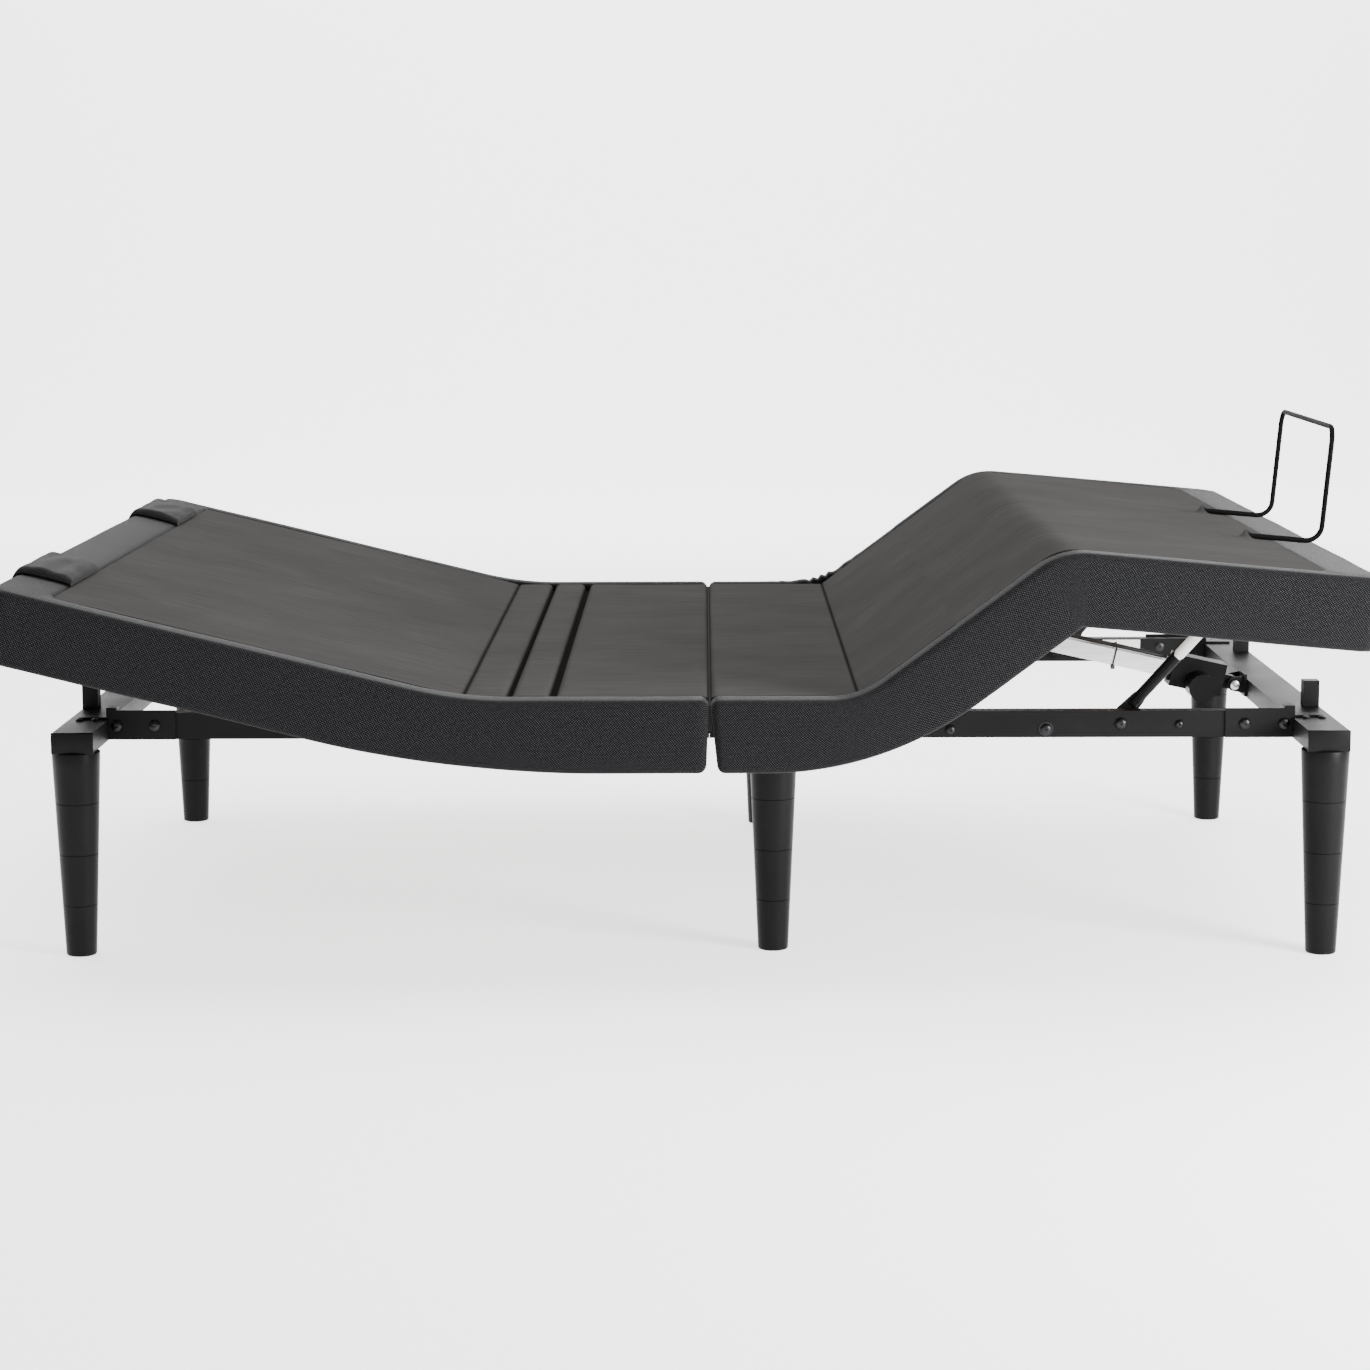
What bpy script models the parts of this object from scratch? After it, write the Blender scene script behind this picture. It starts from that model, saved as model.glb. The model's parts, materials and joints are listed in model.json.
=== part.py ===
"""Adjustable bed base, queen size: a steel base frame on six legs, four hinged deck sections,
two electric lift drives and foam borders. Head end at -X, foot end at +X, floor at z = 0.

Every moving section is drawn lying flat, in the frame of its hinge line, and its hinge empty
then raises it. In that frame x = 0, z = 0 is the hinge line and the deck surface is DECK_SKIN up.
"""
import math

import bmesh
import bpy
from mathutils import Matrix, Vector

# Overall sizes, in metres
DECK_WIDTH = 1.524
BORDER_HEIGHT = 0.1016
BORDER_WIDTH = 0.050
HINGE_Z = 0.396
DECK_SKIN = 0.012
GAP = 0.0003
ORIGIN_SHIFT = 0.0317

# Hinge lines along the bed, and the length of each raised section
HEAD_HINGE_X = -0.350
THIGH_HINGE_X = 0.214
HEAD_LENGTH = 0.670
THIGH_LENGTH = 0.348
CALF_LENGTH = 0.450
SEAM_HALF = 0.004

# Angles at rest: head and thigh above level, calf below level
HEAD_ANGLE = math.radians(13.8)
THIGH_ANGLE = math.radians(36.7)
CALF_ANGLE = math.radians(5.17)

# Base frame
LEG_HEIGHT = 0.305
LEG_TOP_RADIUS = 0.0355
LEG_FOOT_RADIUS = 0.0223
LEG_SECTIONS = 4
END_LEG_Y = 0.541
MID_LEG_Y = 0.509
HEAD_TUBE_X = -0.930
FOOT_TUBE_X = 0.902
MID_TUBE_X = 0.094
TUBE_WIDTH = 0.060
TUBE_HEIGHT = 0.030
END_TUBE_HALF = 0.566
MID_TUBE_HALF = 0.545
TUBE_WALL = 0.0025
RAIL_INNER_Y = 0.410
RAIL_OUTER_Y = 0.435
RAIL_HEIGHT = 0.040
RAIL_Z = LEG_HEIGHT
POST_WIDTH = 0.024
POST_Y = 0.317
POST_TOP = 0.3745
BRACKET_LENGTH = 0.100
BRACKET_PLATE = 0.0035

# Section frames: flat steel tube under each board
BEAM_Y = 0.317
BEAM_WIDTH = 0.030
BEAM_HEIGHT = 0.020
BEAM_SETBACK = 0.016
LUG_PLATE = 0.006
LUG_RADIUS = 0.0085
LUG_LENGTH = 0.060
LUG_SHOULDER = 0.0122
BOARD_SETBACK = 0.013
KNEE_SETBACK = 0.032
BOARD_HALF = DECK_WIDTH / 2 - BORDER_WIDTH - 0.001
HINGE_ROD_RADIUS = 0.005
BORE_CLEARANCE = 0.0004
WELD_STEP = 0.0006

# Foot linkage: a link from each rail to a lug under the calf section
LINK_FOOT = (0.616, 0.326)
CALF_LUG_X = 0.2889
CALF_LUG_DROP = 0.078
LINK_Y = 0.3985
LINK_PLATE = 0.006
LINK_RADIUS = 0.009
LINK_EYE_RADIUS = 0.0165
LINK_SLACK_RADIUS = 0.0108
PIN_RADIUS = 0.005

# Lift arms: a torque tube across the rails, two arms with rollers, one clevis
TORQUE_RADIUS = 0.019
STUB_RADIUS = 0.008
ARM_PLATE = 0.008
ARM_Y = 0.294
CLEVIS_Y = 0.011
CLEVIS_PLATE = 0.006
ROLLER_WIDTH = 0.020

# Actuators: motor housing, slotted profile and push rod
PROFILE_HEIGHT = 0.026
PROFILE_WIDTH = 0.034
PROFILE_START = 0.096
ROD_RADIUS = 0.009
EYE_THICKNESS = 0.010
LEAD_RADIUS = 0.0032

# Foot retainer bar
WIRE_RADIUS = 0.004
RETAINER_Y = -0.0525
RETAINER_HALF = 0.2175
RETAINER_HEIGHT = 0.182
RETAINER_RUN = 0.112
RETAINER_BEND = 0.022

# Strap loops on the head edge
LOOP_Y = 0.459
LOOP_HALF = 0.115
LOOP_LENGTH = 0.094
LOOP_HEIGHT = 0.020
LOOP_WALL = 0.005

MATERIALS = {
    "powder_coated_steel": ((0.012, 0.012, 0.013, 1.0), 0.45, 0.6),
    "woven_fabric": ((0.035, 0.036, 0.040, 1.0), 0.95, 0.0),
    "deck_board": ((0.10, 0.075, 0.05, 1.0), 0.8, 0.0),
    "black_plastic": ((0.015, 0.015, 0.016, 1.0), 0.5, 0.0),
    "aluminium": ((0.62, 0.63, 0.65, 1.0), 0.35, 1.0),
    "zinc_steel": ((0.45, 0.46, 0.47, 1.0), 0.35, 1.0),
    "cable_jacket": ((0.01, 0.01, 0.01, 1.0), 0.6, 0.0),
}
SIDES = (("near", -1), ("far", 1))
ALONG_Y = Matrix.Rotation(math.pi / 2, 4, "X")


def clear_scene():
    for old in list(bpy.data.objects):
        bpy.data.objects.remove(old, do_unlink=True)


def material(name):
    found = bpy.data.materials.get(name)
    if found:
        return found
    colour, roughness, metallic = MATERIALS[name]
    made = bpy.data.materials.new(name)
    made.use_nodes = True
    shader = made.node_tree.nodes["Principled BSDF"]
    shader.inputs["Base Color"].default_value = colour
    shader.inputs["Roughness"].default_value = roughness
    shader.inputs["Metallic"].default_value = metallic
    return made


def empty(name, location, tilt=0.0, parent=None):
    """An axis marker; tilt turns it about Y."""
    marker = bpy.data.objects.new(name, None)
    marker.location = location
    marker.rotation_euler = (0.0, tilt, 0.0)
    marker.parent = parent
    bpy.context.collection.objects.link(marker)
    return marker


# Plain shapes, each returned as a bmesh

def box(low, high):
    shape = bmesh.new()
    centre = [(a + b) / 2 for a, b in zip(low, high)]
    size = [abs(b - a) for a, b in zip(low, high)]
    place = Matrix.Translation(centre) @ Matrix.Diagonal((*size, 1.0))
    bmesh.ops.create_cube(shape, size=1.0, matrix=place)
    return shape


def prism(outline, y_low, y_high):
    """A closed outline of (x, z) points, extruded along Y."""
    shape = bmesh.new()
    ends = []
    for y in (y_low, y_high):
        ends.append([shape.verts.new((x, y, z)) for x, z in outline])
    shape.faces.new(ends[0])
    shape.faces.new(list(reversed(ends[1])))
    count = len(outline)
    for i in range(count):
        j = (i + 1) % count
        shape.faces.new((ends[0][j], ends[0][i], ends[1][i], ends[1][j]))
    bmesh.ops.recalc_face_normals(shape, faces=shape.faces)
    return shape


def round_bar(x, z, radius, y_low, y_high, sides=14):
    """A cylinder along Y."""
    shape = bmesh.new()
    place = Matrix.Translation((x, (y_low + y_high) / 2, z)) @ ALONG_Y
    bmesh.ops.create_cone(shape, cap_ends=True, segments=sides, radius1=radius,
                          radius2=radius, depth=abs(y_high - y_low), matrix=place)
    return shape


def round_bar_between(start, end, radius, sides=12):
    """A cylinder between two points."""
    shape = bmesh.new()
    start = Vector(start)
    end = Vector(end)
    turn = (end - start).to_track_quat("Z", "Y").to_matrix().to_4x4()
    place = Matrix.Translation((start + end) / 2) @ turn
    bmesh.ops.create_cone(shape, cap_ends=True, segments=sides, radius1=radius,
                          radius2=radius, depth=(end - start).length, matrix=place)
    return shape


def turned(profile, x, y, sides=18):
    """A solid of revolution about a vertical axis, from (radius, z) points, top to bottom."""
    shape = bmesh.new()
    rings = []
    for radius, z in profile:
        ring = []
        for i in range(sides):
            turn = 2 * math.pi * i / sides
            ring.append(shape.verts.new((x + radius * math.cos(turn), y + radius * math.sin(turn), z)))
        rings.append(ring)
    shape.faces.new(rings[0])
    shape.faces.new(list(reversed(rings[-1])))
    for upper, lower in zip(rings, rings[1:]):
        for i in range(sides):
            j = (i + 1) % sides
            shape.faces.new((upper[i], lower[i], lower[j], upper[j]))
    bmesh.ops.recalc_face_normals(shape, faces=shape.faces)
    return shape


def arc(cx, cz, radius, start, stop, steps):
    """Points on an arc, angles in degrees, measured from +X towards +Z."""
    points = []
    for i in range(steps + 1):
        turn = math.radians(start + (stop - start) * i / steps)
        points.append((cx + radius * math.cos(turn), cz + radius * math.sin(turn)))
    return points


def capsule(ax, az, bx, bz, radius_a, radius_b=None, steps=6):
    """The outline of a bar with round ends, from a to b."""
    radius_b = radius_b or radius_a
    heading = math.degrees(math.atan2(bz - az, bx - ax))
    points = arc(ax, az, radius_a, heading + 90, heading + 270, steps)
    points += arc(bx, bz, radius_b, heading - 90, heading + 90, steps)
    return points


# Solids, each in its own node

def scene_object(name, shape, finish, parent):
    mesh = bpy.data.meshes.new(name)
    shape.to_mesh(mesh)
    shape.free()
    thing = bpy.data.objects.new(name, mesh)
    bpy.context.collection.objects.link(thing)
    mesh.materials.append(material(finish))
    thing.parent = parent
    return thing


def solid(name, shape, finish, parent, joined=(), cuts=()):
    """One closed solid: the shape, united with the joined shapes, less the cuts."""
    thing = scene_object(name, shape, finish, parent)
    helpers = []
    for operation, tools in (("UNION", joined), ("DIFFERENCE", cuts)):
        for tool in tools:
            helper = scene_object(name + "_tool", tool, finish, parent)
            helpers.append(helper)
            step = thing.modifiers.new(operation, "BOOLEAN")
            step.operation = operation
            step.solver = "EXACT"
            step.object = helper
    if helpers:
        bpy.context.view_layer.update()
        evaluated = thing.evaluated_get(bpy.context.evaluated_depsgraph_get())
        mesh = bpy.data.meshes.new_from_object(evaluated)
        thing.modifiers.clear()
        thing.data = mesh
        for helper in helpers:
            bpy.data.objects.remove(helper, do_unlink=True)
    thing.data.shade_smooth()
    thing.data.set_sharp_from_angle(angle=math.radians(35))
    return thing


def tube(name, points, radius, finish, parent, bevel_resolution=2):
    """A round wire or cable through the points."""
    curve = bpy.data.curves.new(name, "CURVE")
    curve.dimensions = "3D"
    curve.bevel_depth = radius
    curve.bevel_resolution = bevel_resolution
    curve.use_fill_caps = True
    line = curve.splines.new("POLY")
    line.points.add(len(points) - 1)
    for point, place in zip(line.points, points):
        point.co = (*place, 1.0)
    curve.materials.append(material(finish))
    thing = bpy.data.objects.new(name, curve)
    bpy.context.collection.objects.link(thing)
    thing.parent = parent
    return thing


def smooth_path(points, steps=4):
    """A Catmull-Rom curve through the points."""
    knots = [Vector(p) for p in points]
    knots = [2 * knots[0] - knots[1]] + knots + [2 * knots[-1] - knots[-2]]
    path = []
    for a, b, c, d in zip(knots, knots[1:], knots[2:], knots[3:]):
        for i in range(steps):
            t = i / steps
            path.append(0.5 * (2 * b + (c - a) * t + (2 * a - 5 * b + 4 * c - d) * t * t
                               + (3 * b - a - 3 * c + d) * t ** 3))
    path.append(knots[-2])
    return path


def span(side, inner, outer):
    """Low and high y of something that lies inner to outer from the middle, on one side."""
    return (inner, outer) if side > 0 else (-outer, -inner)


# Base frame

def leg(name, x, y, parent):
    """A tapered leg of four stacked sections, with a shallow groove at each joint."""
    section = (LEG_HEIGHT - GAP) / LEG_SECTIONS
    top = LEG_HEIGHT - GAP
    groove = 0.0012
    profile = []
    for i in range(LEG_SECTIONS):
        for z in (top - i * section - groove, top - (i + 1) * section + groove):
            taper = z / LEG_HEIGHT
            profile.append((LEG_FOOT_RADIUS + (LEG_TOP_RADIUS - LEG_FOOT_RADIUS) * taper, z))
        if i < LEG_SECTIONS - 1:
            radius = profile[-1][0] - groove
            profile.append((radius, top - (i + 1) * section))
    profile.insert(0, (LEG_TOP_RADIUS - 0.0015, top))
    profile.append((LEG_FOOT_RADIUS - 0.002, 0.0))
    solid(name, turned(profile, x, y), "black_plastic", parent)


def hollow(low, high, axis):
    """The cut that leaves a rectangular tube, open at both ends, along one axis."""
    low = [a + TUBE_WALL for a in low]
    high = [b - TUBE_WALL for b in high]
    low[axis] -= 0.02
    high[axis] += 0.02
    return box(low, high)


def end_tube(name, x, inboard, outboard, parent):
    """A cross tube with its two rest posts; inboard points to the middle of the bed."""
    low = (x - TUBE_WIDTH / 2, -END_TUBE_HALF, LEG_HEIGHT)
    high = (x + TUBE_WIDTH / 2, END_TUBE_HALF, LEG_HEIGHT + TUBE_HEIGHT)
    edge = x + outboard * TUBE_WIDTH / 2
    posts = []
    for _, side in SIDES:
        y = side * POST_Y
        xs = sorted((edge, edge - outboard * POST_WIDTH))
        posts.append(box((xs[0], y - POST_WIDTH / 2, LEG_HEIGHT + TUBE_HEIGHT - 0.001),
                         (xs[1], y + POST_WIDTH / 2, POST_TOP)))
    solid(name, box(low, high), "powder_coated_steel", parent, joined=posts,
          cuts=[hollow(low, high, 1)])


def corner_bracket(name, tube_x, inboard, side, parent):
    """A plate on the rail's outer face, with a tab bent over the cross tube."""
    face = tube_x + inboard * (TUBE_WIDTH / 2 + GAP)
    xs = sorted((face, face + inboard * BRACKET_LENGTH))
    ys = span(side, RAIL_OUTER_Y + GAP, RAIL_OUTER_Y + GAP + BRACKET_PLATE)
    plate = box((xs[0], ys[0], RAIL_Z), (xs[1], ys[1], RAIL_Z + RAIL_HEIGHT + 0.004))
    tab_z = LEG_HEIGHT + TUBE_HEIGHT + GAP
    txs = sorted((face + inboard * 0.012, face - inboard * 0.045))
    tys = span(side, RAIL_INNER_Y + 0.004, RAIL_OUTER_Y + GAP + BRACKET_PLATE)
    riser_x = sorted((face, face + inboard * 0.012))
    riser = box((riser_x[0], ys[0], tab_z), (riser_x[1], ys[1], RAIL_Z + RAIL_HEIGHT + 0.008))
    tab_low = RAIL_Z + RAIL_HEIGHT + 0.0045
    tab = box((riser_x[0], tys[0], tab_low), (riser_x[1], tys[1], tab_low + BRACKET_PLATE))
    step_x = sorted((face, face - inboard * BRACKET_PLATE))
    step = box((step_x[0], tys[0], tab_z), (step_x[1], tys[1], tab_low + BRACKET_PLATE))
    foot_x = sorted((face, txs[0] if inboard > 0 else txs[1]))
    foot = box((foot_x[0], tys[0], tab_z), (foot_x[1], tys[1], tab_z + BRACKET_PLATE))
    solid(name, plate, "powder_coated_steel", parent, joined=[riser, tab, step, foot])


def rails(parent):
    """Four side rails; the two halves of the base meet at x = 0 on plates welded to one of them."""
    for name, side in SIDES:
        ys = span(side, RAIL_INNER_Y, RAIL_OUTER_Y)
        for half, x_low, x_high, lift_x, lift_z in (
                ("head", HEAD_TUBE_X + TUBE_WIDTH / 2 + GAP, -GAP, *HEAD_LIFT["pivot"]),
                ("foot", GAP, FOOT_TUBE_X - TUBE_WIDTH / 2 - GAP, *FOOT_LIFT["pivot"])):
            low = (x_low, ys[0], RAIL_Z)
            high = (x_high, ys[1], RAIL_Z + RAIL_HEIGHT)
            stub_ys = span(side, RAIL_INNER_Y - 0.01, RAIL_INNER_Y + 0.012)
            cuts = [hollow(low, high, 0),
                    round_bar(lift_x, lift_z, STUB_RADIUS + BORE_CLEARANCE, *stub_ys)]
            joined = []
            if half == "head":
                plate_ys = span(side, RAIL_INNER_Y - 0.006, RAIL_INNER_Y - GAP)
                joined.append(box((-0.070, plate_ys[0], RAIL_Z + 0.003),
                                  (0.060, plate_ys[1], RAIL_Z + 0.037)))
                weld_ys = span(side, RAIL_INNER_Y - 0.003, RAIL_INNER_Y + 0.001)
                joined.append(box((-0.066, weld_ys[0], RAIL_Z + 0.006),
                                  (-0.006, weld_ys[1], RAIL_Z + 0.034)))
            else:
                arm_ys = span(side, RAIL_OUTER_Y - 0.001, MID_TUBE_HALF)
                joined.append(box((MID_TUBE_X - TUBE_WIDTH / 2, arm_ys[0], LEG_HEIGHT),
                                  (MID_TUBE_X + TUBE_WIDTH / 2, arm_ys[1], LEG_HEIGHT + TUBE_HEIGHT)))
                pin_ys = span(side, RAIL_INNER_Y - 0.01, RAIL_INNER_Y + 0.012)
                cuts.append(round_bar(*LINK_FOOT, PIN_RADIUS + BORE_CLEARANCE, *pin_ys))
            solid("rail_%s_%s" % (half, name), box(low, high), "powder_coated_steel", parent,
                  joined=joined, cuts=cuts)


def actuator_bracket(name, pivot, tube_x, inboard, parent):
    """Two ears on a base plate, on the inner face of a cross tube, with the clevis pin."""
    face = tube_x + inboard * (TUBE_WIDTH / 2 + GAP)
    z_low = LEG_HEIGHT + 0.002
    z_high = LEG_HEIGHT + TUBE_HEIGHT + 0.008
    base_x = sorted((face, face + inboard * 0.004))
    base = box((base_x[0], -0.034, z_low), (base_x[1], 0.034, z_high))
    x, z = pivot
    ears = []
    for _, side in SIDES:
        ys = span(side, 0.0235, 0.0285)
        outline = capsule(face + inboard * 0.002, z, x, z, 0.0145, 0.011)
        keep = [(px, pz) for px, pz in outline if (px - face) * inboard > -1e-6]
        ears.append(prism(keep, *ys))
    pin = round_bar(x, z, PIN_RADIUS, -0.030, 0.030)
    solid(name, base, "powder_coated_steel", parent, joined=ears + [pin])


def seat_frame(name, x_low, x_high, hinge_x, bars, parent):
    """The fixed deck frame of one half: two beams, cross bars, risers to the rails, hinge lugs."""
    z_high = HINGE_Z - GAP
    z_low = z_high - BEAM_HEIGHT
    outward = 1 if hinge_x > 0 else -1
    xs = sorted((hinge_x - outward * BEAM_SETBACK, x_low if outward > 0 else x_high))
    joined = []
    for x in bars:
        joined.append(box((x - 0.015, -RAIL_OUTER_Y, z_low + WELD_STEP),
                          (x + 0.015, RAIL_OUTER_Y, z_high - WELD_STEP)))
    for _, side in SIDES:
        y = side * BEAM_Y
        joined.append(box((xs[0], y - BEAM_WIDTH / 2, z_low), (xs[1], y + BEAM_WIDTH / 2, z_high)))
        ys = span(side, RAIL_INNER_Y, RAIL_OUTER_Y - WELD_STEP)
        for x in bars:
            joined.append(box((x - 0.012, ys[0], RAIL_Z + RAIL_HEIGHT + GAP),
                              (x + 0.012, ys[1], z_low + 0.002)))
        joined.append(lug(hinge_x, HINGE_Z, -outward, side, 1))
    cut = round_bar(hinge_x, HINGE_Z, HINGE_ROD_RADIUS + BORE_CLEARANCE, -0.36, 0.36)
    solid(name, joined[0], "powder_coated_steel", parent, joined=joined[1:], cuts=[cut])


def lug(x, z, toward, side, outer):
    """A hinge plate round the hinge line at x, z, reaching back along its beam in x by toward."""
    beam_top = z - GAP - WELD_STEP
    beam_low = z - GAP - BEAM_HEIGHT + WELD_STEP
    outline = [(x + toward * LUG_LENGTH, beam_low), (x + toward * LUG_LENGTH, beam_top),
               (x + toward * LUG_SHOULDER, beam_top)]
    round_end = arc(0.0, 0.0, LUG_RADIUS, 100, -90, 8)
    outline += [(x - toward * px, z + pz) for px, pz in round_end]
    outline.append((x + toward * LUG_SHOULDER, beam_low))
    if outer:
        ys = span(side, BEAM_Y + BEAM_WIDTH / 2 - 0.001, BEAM_Y + BEAM_WIDTH / 2 + LUG_PLATE)
    else:
        ys = span(side, BEAM_Y - BEAM_WIDTH / 2 - LUG_PLATE, BEAM_Y - BEAM_WIDTH / 2 + 0.001)
    return prism(outline, *ys)


def hinge_rod(name, x, z, parent):
    reach = BEAM_Y + BEAM_WIDTH / 2 + LUG_PLATE + 0.003
    solid(name, round_bar(x, z, HINGE_ROD_RADIUS, -reach, reach), "zinc_steel", parent)


def section_frame(name, outward, length, bars, parent, far_lug=False, joined=(), cuts=()):
    """A raised section's frame, drawn flat from its hinge line at x = 0 towards outward."""
    z_high = -GAP
    z_low = z_high - BEAM_HEIGHT
    end = length - (BEAM_SETBACK if far_lug else 0.055)
    xs = sorted((outward * BEAM_SETBACK, outward * end))
    parts = []
    for x, half in bars:
        parts.append(box((outward * x - 0.015, -half, z_low + WELD_STEP),
                         (outward * x + 0.015, half, z_high - WELD_STEP)))
    for _, side in SIDES:
        y = side * BEAM_Y
        parts.append(box((xs[0], y - BEAM_WIDTH / 2, z_low), (xs[1], y + BEAM_WIDTH / 2, z_high)))
        parts.append(lug(0.0, 0.0, outward, side, 0))
        if far_lug:
            parts.append(lug(outward * length, 0.0, -outward, side, 1))
    bores = [round_bar(0.0, 0.0, HINGE_ROD_RADIUS + BORE_CLEARANCE, -0.36, 0.36)]
    if far_lug:
        bores.append(round_bar(outward * length, 0.0, HINGE_ROD_RADIUS + BORE_CLEARANCE, -0.36, 0.36))
    return solid(name, parts[0], "powder_coated_steel", parent, joined=parts[1:] + list(joined),
                 cuts=bores + list(cuts))


def board(name, x_low, x_high, z, parent):
    solid(name, box((x_low, -BOARD_HALF, z + GAP), (x_high, BOARD_HALF, z + DECK_SKIN - 0.002)),
          "deck_board", parent)


def border_outline(start, end, z, lean_start=0.0, lean_end=0.0):
    """Side view of a foam border; a lean is how far its lower edge is cut back at that end."""
    top = z + DECK_SKIN
    low = top - BORDER_HEIGHT
    way = 1 if end > start else -1
    points = [(start, top), (end, top)]
    if lean_end:
        points.append((end, z))
    points.append((end - way * lean_end, low))
    points.append((start + way * lean_start, low))
    if lean_start:
        points.append((start, z))
    return points


def side_border(name, outline, side, parent):
    ys = span(side, DECK_WIDTH / 2 - BORDER_WIDTH, DECK_WIDTH / 2)
    solid(name, prism(outline, *ys), "woven_fabric", parent)


def wrap_border(name, outline, end, parent):
    """A border along both sides and across the end at x = end."""
    top = max(z for _, z in outline)
    low = min(z for _, z in outline)
    way = 1 if end > 0 else -1
    xs = sorted((end, end - way * BORDER_WIDTH))
    half = DECK_WIDTH / 2
    across = box((xs[0], -half, low), (xs[1], half, top))
    sides = [prism(outline, *span(side, half - BORDER_WIDTH, half)) for _, side in SIDES]
    solid(name, across, "woven_fabric", parent, joined=sides)


# Moving parts

def lift_arm(name, lift, outward, parent):
    """Torque tube at the parent's origin, drawn with its arms along outward and level."""
    reach = outward * lift["reach"]
    roller = lift["roller"]
    bars = [round_bar(0.0, 0.0, STUB_RADIUS, -RAIL_INNER_Y - 0.008, RAIL_INNER_Y + 0.008)]
    for _, side in SIDES:
        ys = span(side, ARM_Y - ARM_PLATE / 2, ARM_Y + ARM_PLATE / 2)
        bars.append(prism(capsule(0.0, 0.0, reach, 0.0, 0.022, 0.013), *ys))
        axle = span(side, ARM_Y, BEAM_Y + ROLLER_WIDTH / 2 + 0.002)
        bars.append(round_bar(reach, 0.0, 0.006, *axle, sides=12))
        wheel = span(side, BEAM_Y - ROLLER_WIDTH / 2, BEAM_Y + ROLLER_WIDTH / 2)
        bars.append(round_bar(reach, 0.0, roller, *wheel))
        ys = span(side, CLEVIS_Y - CLEVIS_PLATE / 2, CLEVIS_Y + CLEVIS_PLATE / 2)
        turn = lift["clevis_turn"]
        x = outward * lift["clevis"] * math.cos(turn)
        z = lift["clevis"] * math.sin(turn)
        bars.append(prism(capsule(0.0, 0.0, x, z, 0.020, 0.012), *ys))
    bars.append(round_bar(x, z, PIN_RADIUS, -CLEVIS_Y - 0.004, CLEVIS_Y + 0.004))
    body = round_bar(0.0, 0.0, TORQUE_RADIUS, -RAIL_INNER_Y + 0.008, RAIL_INNER_Y - 0.008)
    solid(name, body, "powder_coated_steel", parent, joined=bars)


def actuator(prefix, drive, outward, body, rod):
    """Housing, profile and rod along the actuator's axis, drawn level from its clevis pin.

    outward is +1 where the clevis pin is at the foot end, so the rod points to -X.
    """
    way = -outward

    def x_range(a, b):
        return sorted((way * a, way * b))

    xs = x_range(0.018, PROFILE_START + 0.008)
    case = box((xs[0], -0.030, -0.024), (xs[1], 0.0225, 0.028))
    motor = round_bar(way * 0.058, -0.012, 0.022, -0.082, -0.028, sides=18)
    eye_outline = capsule(way * 0.026, 0.0, 0.0, 0.0, 0.011)
    eye = prism(eye_outline, -0.012, 0.012)
    front = x_range(PROFILE_START - 0.010, PROFILE_START + 0.013)
    nose = box((front[0], -0.021, -0.017), (front[1], 0.021, 0.017))
    bore = round_bar(0.0, 0.0, PIN_RADIUS + BORE_CLEARANCE, -0.05, 0.05)
    profile_length = drive["profile"]
    pocket_x = x_range(PROFILE_START, PROFILE_START + 0.03)
    pocket = box((pocket_x[0], -PROFILE_WIDTH / 2 - GAP, -PROFILE_HEIGHT / 2 - GAP),
                 (pocket_x[1], PROFILE_WIDTH / 2 + GAP, PROFILE_HEIGHT / 2 + GAP))
    solid(prefix + "_motor_housing", case, "black_plastic", body, joined=[motor, eye, nose],
          cuts=[bore, pocket])
    xs = x_range(PROFILE_START + GAP, profile_length)
    low = (xs[0], -PROFILE_WIDTH / 2, -PROFILE_HEIGHT / 2)
    high = (xs[1], PROFILE_WIDTH / 2, PROFILE_HEIGHT / 2)
    solid(prefix + "_actuator_profile", box(low, high), "aluminium", body,
          cuts=[hollow(low, high, 0)])
    reach = drive["reach"]
    hole = drive["slack"]
    ring = prism(arc(way * reach, 0.0, hole + 0.0045, 0, 345, 23), -EYE_THICKNESS / 2, EYE_THICKNESS / 2)
    start = drive["rod_start"]
    shaft = round_bar_between((way * start, 0, 0), (way * (reach - hole - 0.002), 0, 0), ROD_RADIUS)
    opening = round_bar(way * reach, 0.0, hole, -0.02, 0.02, sides=24)
    solid(prefix + "_push_rod", shaft, "zinc_steel", rod, joined=[ring], cuts=[opening])


def link(name, side, parent):
    """A flattened tube from its rail pin at the origin, drawn along +X, with a slack upper eye."""
    y = side * LINK_Y
    length = LINK_LENGTH
    lower = prism(capsule(0.0, 0.0, 0.045, 0.0, 0.014, 0.010), y - LINK_PLATE / 2, y + LINK_PLATE / 2)
    upper = prism(capsule(length - 0.045, 0.0, length, 0.0, 0.010, LINK_EYE_RADIUS),
                  y - LINK_PLATE / 2, y + LINK_PLATE / 2)
    stem = round_bar_between((0.032, y, 0.0), (length - 0.034, y, 0.0), LINK_RADIUS)
    pin_ys = span(side, LINK_Y - 0.003, RAIL_INNER_Y + 0.008)
    pin = round_bar(0.0, 0.0, PIN_RADIUS, *pin_ys)
    slack = round_bar(length, 0.0, LINK_SLACK_RADIUS, y - 0.02, y + 0.02, sides=24)
    solid(name, stem, "powder_coated_steel", parent, joined=[lower, upper, pin], cuts=[slack])


def calf_link_lugs():
    """Plates under the calf frame that carry the upper link pins."""
    parts = []
    for _, side in SIDES:
        ys = span(side, 0.3855, 0.3925)
        outline = [(CALF_LUG_X - 0.030, -0.002), (CALF_LUG_X + 0.030, -0.002)]
        outline += arc(CALF_LUG_X, -CALF_LUG_DROP, 0.013, 10, -190, 8)
        parts.append(prism(outline, *ys))
        pin = span(side, 0.390, LINK_Y + LINK_PLATE / 2 + 0.005)
        parts.append(round_bar(CALF_LUG_X, -CALF_LUG_DROP, PIN_RADIUS, *pin))
    return parts


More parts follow.
